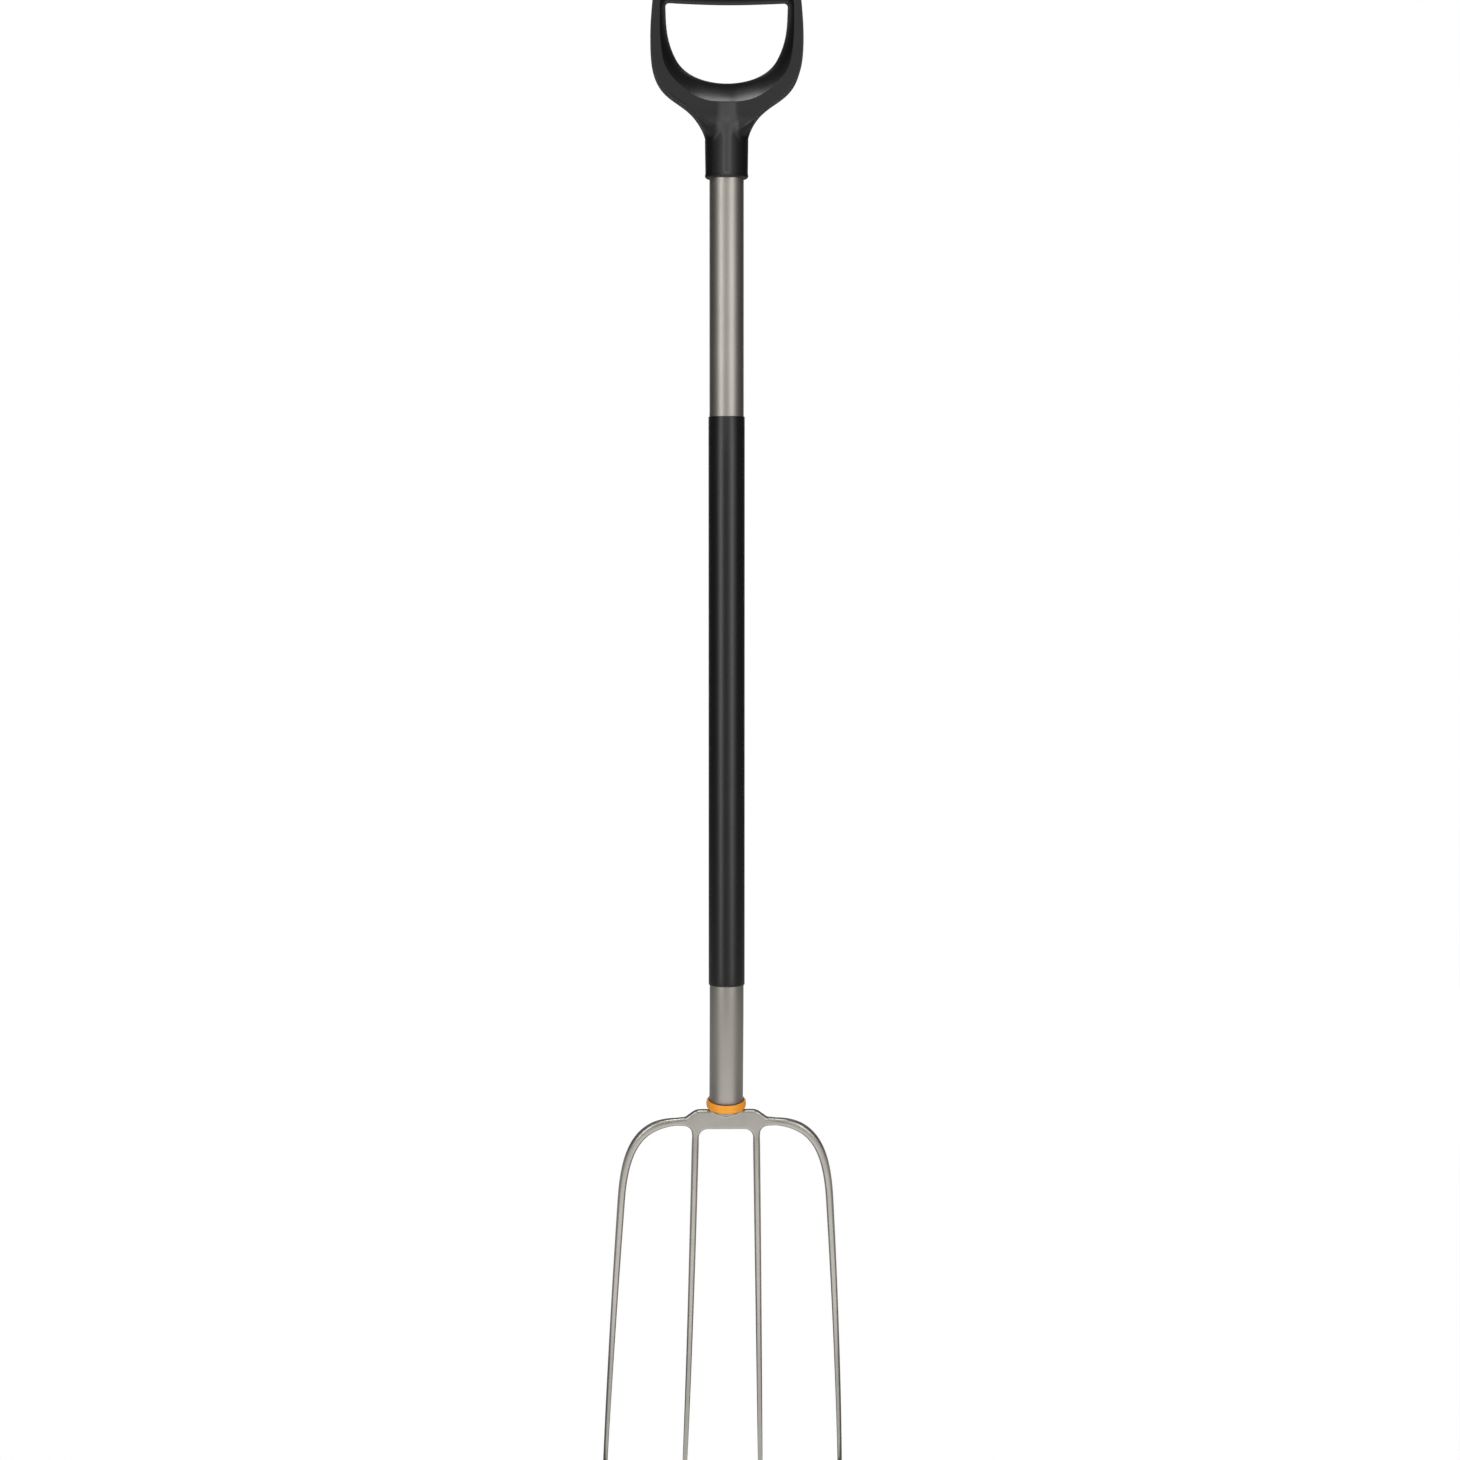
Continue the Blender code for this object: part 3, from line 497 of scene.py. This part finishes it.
def handleSection(inner, crease, outer, gripShare, outline):
    # One closed section: (place, share of the depth, drop) along the front, then its mirror image
    front = []
    count = handle["bevelPoints"]
    bend = handle["bevelBend"] * (1.0 - gripShare)
    power = handle["bevelPower"] + (2.0 - handle["bevelPower"]) * gripShare
    gap = handle["creaseGap"] * mm
    slope = [math.cos(0.5 * math.pi * i / count) for i in range(count)]
    for t in slope + [gap / (inner - crease).length, 0.0]:
        share = 1.0 - bend * t - (1.0 - bend) * (1.0 - (1.0 - t ** power) ** (1.0 / power))
        front.append((crease + (inner - crease) * t, share, 0.0))
    direction = outer - crease
    length = direction.length
    direction.normalize()
    onSocket = handleShare(outer, "rim")
    edge = (handle["armEdge"] + (handle["gripHalfDepth"] - handle["armEdge"]) * gripShare) * mm
    edge += (handle["rim"] * mm - edge) * onSocket
    edge = min(edge, length * handle["edgeLimit"])
    flatLength = length - edge
    lip = flatLength * handle["faceEnd"]
    lipEdge = flatLength * handle["faceEdge"]
    if outer.y < handle["lipEdge"] * mm - handle["lipClear"] * mm:
        # Past the foot's lip, the last rows of the face stand on it
        lip = (handle["lipTop"] * mm - crease.y) / direction.y
        lipEdge = (handle["lipEdge"] * mm - crease.y) / direction.y
    flank = (outer.x - handle["flankFrom"] * mm) / (handle["flankSpan"] * mm)
    sideways = onSocket * smoothStep(flank)
    count = handle["facePoints"]
    if flatLength > 2.0 * gap:
        front.append((crease + direction * min(gap, 0.5 * lip / count), 1.0, 0.0))
    for i in range(1, count + 1):
        t = i / count
        t += (math.sin(0.5 * math.pi * t) - t) * sideways
        front.append((crease + direction * (lip * t), 1.0, 0.0))
    front.append((crease + direction * lipEdge, 1.0, 0.0))
    count = handle["edgePoints"]
    for i in range(count + 1):
        angle = 0.5 * math.pi * i / count
        drop = edge * (1.0 - math.cos(angle)) * (1.0 - onSocket)
        front.append((crease + direction * (flatLength + edge * math.sin(angle)), 1.0, drop))
    ring = []
    for place, share, drop in front:
        depth = handleDepth(place, share, drop, gripShare, outline)
        ring.append(Vector((place.x, -depth, place.y)))
    last = ring[-1]
    ring += [Vector((last.x, last.y * share, last.z)) for share in handle["wallShares"]]
    return ring + [Vector((p.x, -p.y, p.z)) for p in ring[::-1]]


def handleRings():
    # The right half's sections and their mirror images, round the opening
    steps = handle["steps"]
    inner = chainPoints(handle["inner"], steps[:3] + (steps[3] + steps[4], steps[5] + steps[6]))
    crease = chainPoints(handle["crease"], steps[:5] + (steps[5] + steps[6],))
    outer = chainPoints(handle["outer"], steps[:3] + (steps[3] + steps[4],)) + socketSide(steps[5])
    # Half widths of the neck and the socket, down to the rim
    outline = sorted((-p.y, p.x) for p in outer[sum(steps[:3]):handle["rimPoints"] - steps[6]])
    lead = handle["gripLead"]
    rings = []
    for i, (a, b, c) in enumerate(zip(inner, crease, outer)):
        gripShare = 1.0 - smoothStep((i - steps[0] + lead) / (steps[1] + lead))
        rings.append(handleSection(a, b, c, gripShare, outline))
    left = [[Vector((-p.x, p.y, p.z)) for p in ring] for ring in rings[1:-1]]
    return rings + left[::-1]


form = bmesh.new()
addRings(form, handleRings(), True)
handleMoulding = addMesh("handleMoulding", form)
cutAway(handleMoulding, [
    turnedCutter("socketBore", straightFrame(handle["bottom"]), handle["bore"], handle["boreSides"]),
    turnedCutter("screwSeat", screwFrame, fixings["screwSeat"], fixings["sides"]),
], handle["sharpDegrees"])
print("handle made:", len(handleMoulding.data.polygons), "faces")


# Screw in the socket's back and rivet in the tube's back

fasteners = {
    "sides": 64,
    "sharpDegrees": 35.0,
    "screw": (
        (0.2, 2.4), (1.4, 2.36), (2.6, 2.2), (3.5, 1.75), (3.9, 1.15), (4.0, 0.7), (4.0, 0.0),
        (2.0, 0.0), (2.0, -7.0), (0.4, -9.0),
    ),
    "drive": ((1.6, 3.4), (1.6, 1.1)),     # its six-sided recess
    "driveSides": 6,
    "driveDegrees": 22.0,
    "rivet": (
        (0.2, 1.5), (1.2, 1.46), (2.4, 1.32), (3.4, 1.05), (4.1, 0.65), (4.45, 0.25), (4.5, 0.0),
        (2.2, 0.0), (2.2, -10.0), (1.6, -10.6),
    ),
}
form = bmesh.new()
addTurned(form, fasteners["screw"], screwFrame, fasteners["sides"], False)
handleScrew = addMesh("handleScrew", form)
driveFrame = screwFrame @ Matrix.Rotation(math.radians(fasteners["driveDegrees"]), 4, "Z")
cutAway(handleScrew, [
    turnedCutter("screwDrive", driveFrame, fasteners["drive"], fasteners["driveSides"]),
], fasteners["sharpDegrees"])
form = bmesh.new()
addTurned(form, fasteners["rivet"], rivetFrame, fasteners["sides"], False)
headRivet = addMesh("headRivet", form, fasteners["sharpDegrees"])
print("fasteners made")


# Fork head: one forging, its tang, neck, web and tines melted together by a fine remesh

head = {
    "webTop": 57.4,            # below the bend
    "webThickness": 5.2,
    "webEdge": 1.2,
    "webCorners": (
        (22.5, -1.0, 9.0), (30.6, 5.2, 3.0), (36.0, 5.7, 0.0), (43.0, 7.6, 0.0), (43.0, 9.6, 0.0),
        (36.0, 11.6, 0.0), (25.9, 11.9, 6.0), (24.6, 28.0, 0.0), (20.8, 28.0, 0.0), (19.7, 14.3, 6.5),
    ),
    "cornerSteps": 8,
    "rimDegrees": 50.0,        # the web's edges are the ones that turn by more than this
    "weld": 0.002,             # joins the points that the plate's faces share
    "neck": (
        (0.2, 2.6), (10.2, 2.6), (11.0, 1.8), (10.8, 0.3), (8.4, -0.9), (6.0, -1.9), (3.8, -3.0),
        (2.0, -5.0), (0.2, -5.0),
    ),
    "neckSides": 64,
    "tang": ((11.5, 8.0, 0.0), (11.5, 8.0, 0.5), (8.5, 6.0, 50.9)),     # width, depth, height
    "tangSides": 24,
    "tangPower": 0.3,          # 1 is round, towards 0 is square
    # The tines are drawn flat, then laid on a middle surface that is straight and then bends as an arc
    "flatLength": 12.0,
    "arcLength": 332.0,
    "arcDegrees": 20.0,
    "tipLength": 20.0,
    "bluntTip": 0.3,
    "squareness": 2.3,         # 2 is an ellipse
    "tineSides": 24,
    "outerTine": {
        "line": (
            ((18.0, 8.8), (22.6, 8.8), (27.4, 8.7), (32.0, 8.6)),
            ((32.0, 8.6), (64.0, 8.0), (75.2, 28.0), (78.2, 72.0)),
            ((78.2, 72.0), (84.3, 162.0), (89.4, 254.0), (93.15, 344.0)),
        ),
        "steps": (6, 40, 70),
        "widths": ((0.0, 3.6), (14.0, 5.6), (36.0, 7.2), (64.0, 6.4), (92.0, 5.8), (370.0, 3.4)),
        "depths": ((0.0, 3.2), (14.0, 4.8), (28.0, 6.6), (48.0, 7.4), (100.0, 7.0), (370.0, 4.0)),
    },
    "innerTine": {
        "line": (((22.4, 3.0), (24.7, 118.0), (27.2, 231.0), (30.2, 344.0)),),
        "steps": (110,),
        "widths": ((0.0, 3.0), (12.0, 4.8), (24.0, 5.4), (110.0, 5.0), (342.0, 3.7)),
        "depths": ((0.0, 3.0), (12.0, 4.8), (28.0, 6.6), (44.0, 7.2), (100.0, 6.8), (342.0, 4.0)),
    },
    "voxel": 0.55,             # the remesh that melts them together, and its smoothing and thinning
    "softenFactor": 0.5,
    "softenTimes": 5,
    "keptFaces": 0.5,
}
headFrame = lowerFrame(head["webTop"])


def tinePlace(flatPoint):
    # Puts a point of the flattened head on its curved middle surface
    flat = head["flatLength"] * mm
    if flatPoint.y <= flat:
        return Vector((flatPoint.x, 0.0, -flatPoint.y)), Vector((0.0, 1.0, 0.0))
    radius = head["arcLength"] * mm / math.radians(head["arcDegrees"])
    lean = (flatPoint.y - flat) / radius
    place = Vector((flatPoint.x, radius * (1.0 - math.cos(lean)), -flat - radius * math.sin(lean)))
    return place, Vector((0.0, math.cos(lean), math.sin(lean)))


def squared(value, power):
    return math.copysign(abs(value) ** power, value)


def addTine(form, tine, side):
    centre = chainPoints(tine["line"], tine["steps"])
    places = [tinePlace(point) for point in centre]
    lengths = [0.0]
    for first, second in zip(centre, centre[1:]):
        lengths.append(lengths[-1] + (second - first).length)
    power = 2.0 / head["squareness"]
    rings = []
    for i, (place, facing) in enumerate(places):
        run = places[min(i + 1, len(places) - 1)][0] - places[max(i - 1, 0)][0]
        sideways = run.cross(facing).normalized()
        toTip = min((lengths[-1] - lengths[i]) / (head["tipLength"] * mm), 1.0)
        taper = head["bluntTip"] + (1.0 - head["bluntTip"]) * math.sqrt(toTip)
        halfWidth = sideways * (0.5 * mm * tableValue(tine["widths"], lengths[i] / mm) * taper)
        halfDepth = facing * (0.5 * mm * tableValue(tine["depths"], lengths[i] / mm) * taper)
        ring = []
        for k in range(head["tineSides"]):
            angle = 2.0 * math.pi * (k + 0.5) / head["tineSides"]
            point = (place + halfWidth * squared(math.cos(angle), power)
                     + halfDepth * squared(math.sin(angle), power))
            ring.append(headFrame @ Vector((point.x * side, point.y, point.z)))
        rings.append(ring)
    addRings(form, rings, False)


def addWeb(form):
    # A flat plate from the web's outline, with its edges cut off
    right = [(x, -down, radius) for x, down, radius in head["webCorners"]]
    left = [(-x, y, radius) for x, y, radius in right[::-1]]
    outline = roundedProfile(right + left, head["cornerSteps"])
    curve = bpy.data.curves.new("web", "CURVE")
    curve.dimensions = "2D"
    curve.fill_mode = "BOTH"
    curve.extrude = 0.5 * head["webThickness"] * mm
    spline = curve.splines.new("POLY")
    spline.points.add(len(outline) - 1)
    for place, (x, y) in zip(spline.points, outline):
        place.co = (x * mm, y * mm, 0.0, 1.0)
    spline.use_cyclic_u = True
    item = bpy.data.objects.new("web", curve)
    scene.collection.objects.link(item)
    web = bmesh.new()
    web.from_mesh(evaluatedMesh(item))
    bpy.data.objects.remove(item, do_unlink=True)
    bmesh.ops.remove_doubles(web, verts=web.verts, dist=head["weld"] * mm)
    bmesh.ops.recalc_face_normals(web, faces=web.faces)
    limit = math.radians(head["rimDegrees"])
    rims = [edge for edge in web.edges
            if len(edge.link_faces) == 2 and edge.calc_face_angle() > limit]
    bmesh.ops.bevel(web, geom=rims, offset=head["webEdge"] * mm, segments=1, affect="EDGES")
    upright = headFrame @ Matrix.Rotation(math.radians(90.0), 4, "X")
    bmesh.ops.transform(web, matrix=upright, verts=web.verts)
    plate = bpy.data.meshes.new("webPlate")
    web.to_mesh(plate)
    web.free()
    form.from_mesh(plate)


def addTang(form):
    rings = []
    for width, depth, height in head["tang"]:
        ring = []
        for k in range(head["tangSides"]):
            angle = 2.0 * math.pi * (k + 0.5) / head["tangSides"]
            x = 0.5 * width * squared(math.cos(angle), head["tangPower"])
            y = 0.5 * depth * squared(math.sin(angle), head["tangPower"])
            ring.append(headFrame @ Vector((x * mm, y * mm, height * mm)))
        rings.append(ring)
    addRings(form, rings, False)


form = bmesh.new()
addWeb(form)
addTurned(form, head["neck"], headFrame, head["neckSides"], False)
addTang(form)
for side in (1.0, -1.0):
    addTine(form, head["outerTine"], side)
    addTine(form, head["innerTine"], side)
forkHead = addMesh("forkHead", form)
melt = forkHead.modifiers.new("melt", "REMESH")
melt.mode = "VOXEL"
melt.voxel_size = head["voxel"] * mm
soften = forkHead.modifiers.new("soften", "SMOOTH")
soften.factor = head["softenFactor"]
soften.iterations = head["softenTimes"]
thin = forkHead.modifiers.new("thin", "DECIMATE")
thin.ratio = head["keptFaces"]
applyModifiers(forkHead)
shadeSmooth(forkHead.data)
print("head made:", len(forkHead.data.polygons), "faces")


# Materials

def surfaceFinish(name, settings):
    # Grain in the bump and the gloss, drawn out by the stretch, over a faint uneven tone
    material, tree, shader = newMaterial(name)
    place = addNode(tree, "ShaderNodeTexCoord").outputs["Object"]
    stretch = addNode(tree, "ShaderNodeMapping", {"Scale": settings["stretch"]}, {"Vector": place})
    grain = addNode(tree, "ShaderNodeTexNoise",
                    {"Scale": 1.0 / (settings["grain"] * mm), "Detail": 3.0,
                     "Roughness": settings["fineness"]},
                    {"Vector": stretch.outputs["Vector"]})
    patches = addNode(tree, "ShaderNodeTexNoise",
                      {"Scale": 1.0 / (settings["patch"] * mm), "Detail": 4.0}, {"Vector": place})
    tone = addNode(tree, "ShaderNodeValToRGB",
                   {"stops": ((0.3, linearColour(settings["dark"])),
                              (0.7, linearColour(settings["light"])))},
                   {"Fac": patches.outputs["Fac"]})
    gloss = addNode(tree, "ShaderNodeMapRange",
                    {"To Min": settings["smooth"], "To Max": settings["rough"]},
                    {"Value": grain.outputs["Fac"]})
    bump = addNode(tree, "ShaderNodeBump",
                   {"Strength": settings["bump"], "Distance": settings["height"] * mm},
                   {"Height": grain.outputs["Fac"]})
    colour = tone.outputs["Color"]
    roughness = gloss.outputs["Result"]
    if "erosionAndPaintedHighlight" in settings:
        # Part of the mould was roughened by spark erosion: rougher near the axis, below a height. The same
        # band also gets a lighter colour, a painted highlight for the light down the neck's ridge and the
        # socket
        erosionAndPaintedHighlight = settings["erosionAndPaintedHighlight"]
        parts = addNode(tree, "ShaderNodeSeparateXYZ", {}, {"Vector": place})
        aside = addNode(tree, "ShaderNodeMath", {"operation": "ABSOLUTE"}, {0: parts.outputs["X"]})
        near = addNode(tree, "ShaderNodeMapRange",
                       {"interpolation_type": "SMOOTHSTEP",
                        "From Min": (erosionAndPaintedHighlight["width"] + erosionAndPaintedHighlight["fade"]) * mm,
                        "From Max": erosionAndPaintedHighlight["width"] * mm},
                       {"Value": aside.outputs[0]})
        below = addNode(tree, "ShaderNodeMapRange",
                        {"From Min": erosionAndPaintedHighlight["top"] * mm, "From Max": (erosionAndPaintedHighlight["top"] - 1.0) * mm},
                        {"Value": parts.outputs["Z"]})
        erosionAndHighlightMask = addNode(tree, "ShaderNodeMath", {"operation": "MULTIPLY"},
                       {0: near.outputs[0], 1: below.outputs[0]})
        rougher = addNode(tree, "ShaderNodeMath", {"operation": "MULTIPLY_ADD", 1: erosionAndPaintedHighlight["extra"]},
                          {0: erosionAndHighlightMask.outputs[0], 2: roughness})
        # Painted highlight: the band is mixed towards a lighter grey, standing for light on the ridge and
        # the socket
        paintedHighlight = addNode(tree, "ShaderNodeMixRGB", {"Color2": linearColour(erosionAndPaintedHighlight["colour"])},
                        {"Fac": erosionAndHighlightMask.outputs[0], "Color1": colour})
        colour = paintedHighlight.outputs["Color"]
        roughness = rougher.outputs[0]
    tree.links.new(colour, shader.inputs["Base Color"])
    tree.links.new(roughness, shader.inputs["Roughness"])
    tree.links.new(bump.outputs["Normal"], shader.inputs["Normal"])
    shader.inputs["Metallic"].default_value = settings["metallic"]
    return material


# Grain, patches and heights are in mm

# Glass-filled nylon, moulded: charcoal with a muted satin sheen, rougher where spark erosion roughened the
# mould, and there a lighter colour that is a painted highlight down the neck's ridge and the socket; its 0.1
# mm grain would be finer than a pixel, so it is drawn at 0.9 mm
mouldedNylon = surfaceFinish("mouldedGlassFilledNylon", {
    "stretch": (1.0, 1.0, 1.0), "grain": 0.9, "fineness": 0.6, "patch": 22.0, "dark": "#0b0b0b",
    "light": "#0f0f0f", "smooth": 0.28, "rough": 0.36, "bump": 0.2, "height": 0.05, "metallic": 0.0,
    # The band's colour #303030 is a painted highlight; its extra roughness is the finish left by spark
    # erosion
    "erosionAndPaintedHighlight": {"width": 2.5, "fade": 6.5, "top": -71.4, "extra": 0.18, "colour": "#303030"},
})
# Vinyl, extruded and drawn on over the tube: near black, and faint die lines along it stretch its
# highlights; they are 0.1 mm apart and are drawn at 0.8 mm
extrudedVinyl = surfaceFinish("extrudedBlackVinyl", {
    "stretch": (1.0, 1.0, 0.05), "grain": 0.8, "fineness": 0.6, "patch": 40.0, "dark": "#0d0d0c",
    "light": "#121211", "smooth": 0.30, "rough": 0.38, "bump": 0.15, "height": 0.03, "metallic": 0.0,
})
# Polypropylene, dyed through and moulded: a waxy half gloss; its 0.1 mm grain is drawn at 0.8 mm
mouldedPolypropylene = surfaceFinish("mouldedOrangePolypropylene", {
    "stretch": (1.0, 1.0, 1.0), "grain": 0.8, "fineness": 0.6, "patch": 9.0, "dark": "#fda023",
    "light": "#ffa92b", "smooth": 0.30, "rough": 0.40, "bump": 0.12, "height": 0.03, "metallic": 0.0,
})
# Nylon, undyed and turned: milky and dull; its tool marks, 0.1 mm apart, are drawn at 0.7 mm
turnedNylon = surfaceFinish("turnedUndyedNylon", {
    "stretch": (1.0, 1.0, 1.0), "grain": 0.7, "fineness": 0.6, "patch": 8.0, "dark": "#c8c5ba",
    "light": "#d2cfc4", "smooth": 0.45, "rough": 0.60, "bump": 0.15, "height": 0.04, "metallic": 0.0,
})
# Aluminium, drawn and satin anodised: draw marks along the tube blur highlights into soft stripes;
# they are 0.05 mm wide and are drawn at 0.7 mm
anodisedAluminium = surfaceFinish("anodisedDrawnAluminium", {
    "stretch": (1.0, 1.0, 0.02), "grain": 0.7, "fineness": 0.5, "patch": 60.0, "dark": "#a29e97",
    "light": "#a8a49d", "smooth": 0.42, "rough": 0.50, "bump": 0.1, "height": 0.02, "metallic": 1.0,
})
# Steel, forged and powder coated silver grey: metal flakes under a thin skin of paint, with the
# coat's faint orange peel of about a millimetre
powderCoatedSteel = surfaceFinish("powderCoatedForgedSteel", {
    "stretch": (1.0, 1.0, 1.0), "grain": 1.1, "fineness": 0.5, "patch": 14.0, "dark": "#a4a19a",
    "light": "#aca9a2", "smooth": 0.28, "rough": 0.36, "bump": 0.2, "height": 0.05, "metallic": 0.8,
})
# Steel, zinc plated: bright, with a fine cloudy grain that is drawn at 0.6 mm instead of 0.05 mm
zincPlatedSteel = surfaceFinish("zincPlatedSteel", {
    "stretch": (1.0, 1.0, 1.0), "grain": 0.6, "fineness": 0.5, "patch": 4.0, "dark": "#bdbdbd",
    "light": "#c8c8c8", "smooth": 0.25, "rough": 0.38, "bump": 0.1, "height": 0.02, "metallic": 1.0,
})
print("materials made")

finishes = (
    (handleMoulding, "d_handle", "handle_plastic", mouldedNylon),
    (handleScrew, "handle_screw", "fastener_steel", zincPlatedSteel),
    (shaftTube, "shaft_tube", "tube_aluminium", anodisedAluminium),
    (shaftSleeve, "shaft_sleeve", "sleeve_plastic", extrudedVinyl),
    (collarRing, "collar_ring", "collar_plastic", mouldedPolypropylene),
    (headRivet, "head_rivet", "fastener_steel", zincPlatedSteel),
    (forkHead, "fork_head", "head_steel", powderCoatedSteel),
)
for piece, node, slotName, material in finishes:
    setMaterial(piece, material)
    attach(piece, "root")
    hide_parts(node)
setMaterial(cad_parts["tang_bush"], turnedNylon)
print("pieces placed")


# Studio: pale floor and white surroundings, soft boxes, and dim cards that only reflections see

studio = {
    "centre": (0.0, 0.03, -0.52),      # m
    "white": 1.0,              # the world, as it is seen
    "fill": 0.6,               # the world, as it lights the fork
    "boxes": (
        # name, degrees to the right of the camera, degrees up, distance, width, height, radiance
        ("leftBox", -38.0, 4.0, 2.6, 0.62, 3.0, 3.3),
        ("rightBox", 32.5, 4.0, 2.6, 0.54, 3.0, 3.6),
        ("overheadBox", -4.0, 64.0, 2.4, 1.3, 0.6, 9.5),
        ("backLeftBox", -157.0, 5.0, 3.0, 0.5, 2.8, 5.0),
        ("backRightBox", 157.0, 5.0, 3.0, 0.5, 2.8, 5.0),
        ("topLeftBox", -152.0, 46.0, 3.0, 1.2, 1.2, 1.2),
        ("topRightBox", 152.0, 46.0, 3.0, 1.2, 1.2, 1.2),
    ),
    "cardSteps": 24,
    "arcs": (
        # name, from and to degrees, (radius, height) of its two rims, level
        ("backScreen", 58.0, 302.0, (1.70, -0.93), (1.70, 1.5), 0.065),
        ("lowScreen", 58.0, 302.0, (1.70, -1.12), (1.70, -0.93), 0.40),
        ("nearApron", 58.0, 302.0, (0.13, -1.12), (0.40, -1.12), 0.10),
        ("middleApron", 58.0, 302.0, (0.40, -1.12), (1.00, -1.12), 0.38),
        ("farApron", 58.0, 302.0, (1.00, -1.12), (1.70, -1.12), 0.50),
        ("frontApron", -58.0, 58.0, (0.95, -1.12), (3.15, -1.12), 0.30),
    ),
    "sheet": {"width": 0.6, "from": -0.27, "to": 0.02, "height": -1.118, "level": 1.4},
    "frontCard": {"degrees": -8.0, "distance": 3.2, "width": 1.7, "height": 2.3, "level": 0.36},
    "ceiling": {"height": 1.9, "radius": 3.0, "level": 0.06},
    "floor": {"height": -1.131, "size": 6.0, "colour": "#f4f4f4", "roughness": 0.8,
              "glow": 1.05, "glowShare": 0.9},     # the share of the glow in what is seen; the rest is paper
}


def studioPlace(degrees, up, distance):
    angle, rise = math.radians(degrees), math.radians(up)
    direction = Vector((math.sin(angle) * math.cos(rise), -math.cos(angle) * math.cos(rise),
                        math.sin(rise)))
    return Vector(studio["centre"]) + direction * distance


for name, degrees, up, distance, width, height, radiance in studio["boxes"]:
    lampData = bpy.data.lights.new(name, "AREA")
    lampData.shape = "RECTANGLE"
    lampData.size = width
    lampData.size_y = height
    lampData.energy = radiance * math.pi * width * height
    lamp = bpy.data.objects.new(name, lampData)
    lamp.location = studioPlace(degrees, up, distance)
    toCentre = Vector(studio["centre"]) - lamp.location
    lamp.rotation_euler = toCentre.to_track_quat("-Z", "Y").to_euler()
    lamp.visible_camera = False
    scene.collection.objects.link(lamp)


def addCard(name, points, faces, level):
    # Felt of one plain level: no camera sees it, it casts no shadow, and it is clear from behind
    mesh = bpy.data.meshes.new(name)
    mesh.from_pydata([tuple(point) for point in points], [], faces)
    card = bpy.data.objects.new(name, mesh)
    scene.collection.objects.link(card)
    card.visible_camera = False
    card.visible_shadow = False
    material, tree, shader = newMaterial(name + "Felt")
    tree.nodes.remove(shader)
    side = addNode(tree, "ShaderNodeNewGeometry")
    glow = addNode(tree, "ShaderNodeEmission", {"Color": (level, level, level, 1.0), "Strength": 1.0})
    clear = addNode(tree, "ShaderNodeBsdfTransparent")
    both = addNode(tree, "ShaderNodeMixShader", {},
                   {0: side.outputs["Backfacing"], 1: glow.outputs[0], 2: clear.outputs[0]})
    tree.links.new(both.outputs[0], tree.nodes["Material Output"].inputs["Surface"])
    setMaterial(card, material)


count = studio["cardSteps"]
for name, start, end, low, high, level in studio["arcs"]:
    points = []
    for i in range(count + 1):
        for radius, height in (low, high):
            place = studioPlace(start + (end - start) * i / count, 0.0, radius)
            points.append((place.x, place.y, height))
    addCard(name, points, [(2 * i, 2 * i + 1, 2 * i + 3, 2 * i + 2) for i in range(count)], level)

sheet = studio["sheet"]
half = 0.5 * sheet["width"]
corners = ((-half, sheet["from"]), (half, sheet["from"]), (half, sheet["to"]), (-half, sheet["to"]))
addCard("floorSheet", [(x, y, sheet["height"]) for x, y in corners], [(0, 1, 2, 3)], sheet["level"])

front = studio["frontCard"]
middle = studioPlace(front["degrees"], 0.0, front["distance"])
across = Vector((middle.y, -middle.x, 0.0)).normalized() * 0.5 * front["width"]
rise = Vector((0.0, 0.0, 0.5 * front["height"]))
corners = (middle + across - rise, middle + across + rise,
           middle - across + rise, middle - across - rise)
addCard("frontCard", corners, [(0, 1, 2, 3)], front["level"])

ceiling = studio["ceiling"]
angles = [2.0 * math.pi * i / count for i in range(count)]
points = [(ceiling["radius"] * math.cos(a), ceiling["radius"] * math.sin(a), ceiling["height"])
          for a in angles[::-1]]
addCard("ceilingCard", points, [tuple(range(count))], ceiling["level"])


def seenDirectly(tree):
    # 1 for rays from the camera, off gloss or through glass, and 0 for the light that falls on things
    rays = addNode(tree, "ShaderNodeLightPath")
    seen = rays.outputs["Is Camera Ray"]
    for kind in ("Is Glossy Ray", "Is Transmission Ray"):
        seen = addNode(tree, "ShaderNodeMath", {"operation": "MAXIMUM"},
                       {0: seen, 1: rays.outputs[kind]}).outputs[0]
    return seen


# Pale paper that is seen nearly white, and still keeps the fork's shadow
form = bmesh.new()
bmesh.ops.create_grid(form, x_segments=2, y_segments=2, size=studio["floor"]["size"])
floor = addMesh("studioFloor", form)
floor.location.z = studio["floor"]["height"]
material, tree, shader = newMaterial("palePaperFloor")
shader.inputs["Base Color"].default_value = linearColour(studio["floor"]["colour"])
shader.inputs["Roughness"].default_value = studio["floor"]["roughness"]
share = addNode(tree, "ShaderNodeMath", {"operation": "MULTIPLY", 1: studio["floor"]["glowShare"]},
                {0: seenDirectly(tree)})
glow = addNode(tree, "ShaderNodeEmission",
               {"Color": linearColour("#ffffff"), "Strength": studio["floor"]["glow"]})
both = addNode(tree, "ShaderNodeMixShader", {},
               {0: share.outputs[0], 1: shader.outputs[0], 2: glow.outputs[0]})
tree.links.new(both.outputs[0], tree.nodes["Material Output"].inputs["Surface"])
setMaterial(floor, material)

world = bpy.data.worlds.new("studioWorld")
world.use_nodes = True
scene.world = world
tree = world.node_tree
level = addNode(tree, "ShaderNodeMapRange", {"To Min": studio["fill"], "To Max": studio["white"]},
                {"Value": seenDirectly(tree)})
background = tree.nodes["Background"]
tree.links.new(level.outputs["Result"], background.inputs["Strength"])
background.inputs["Color"].default_value = linearColour("#ffffff")
print("studio lit")
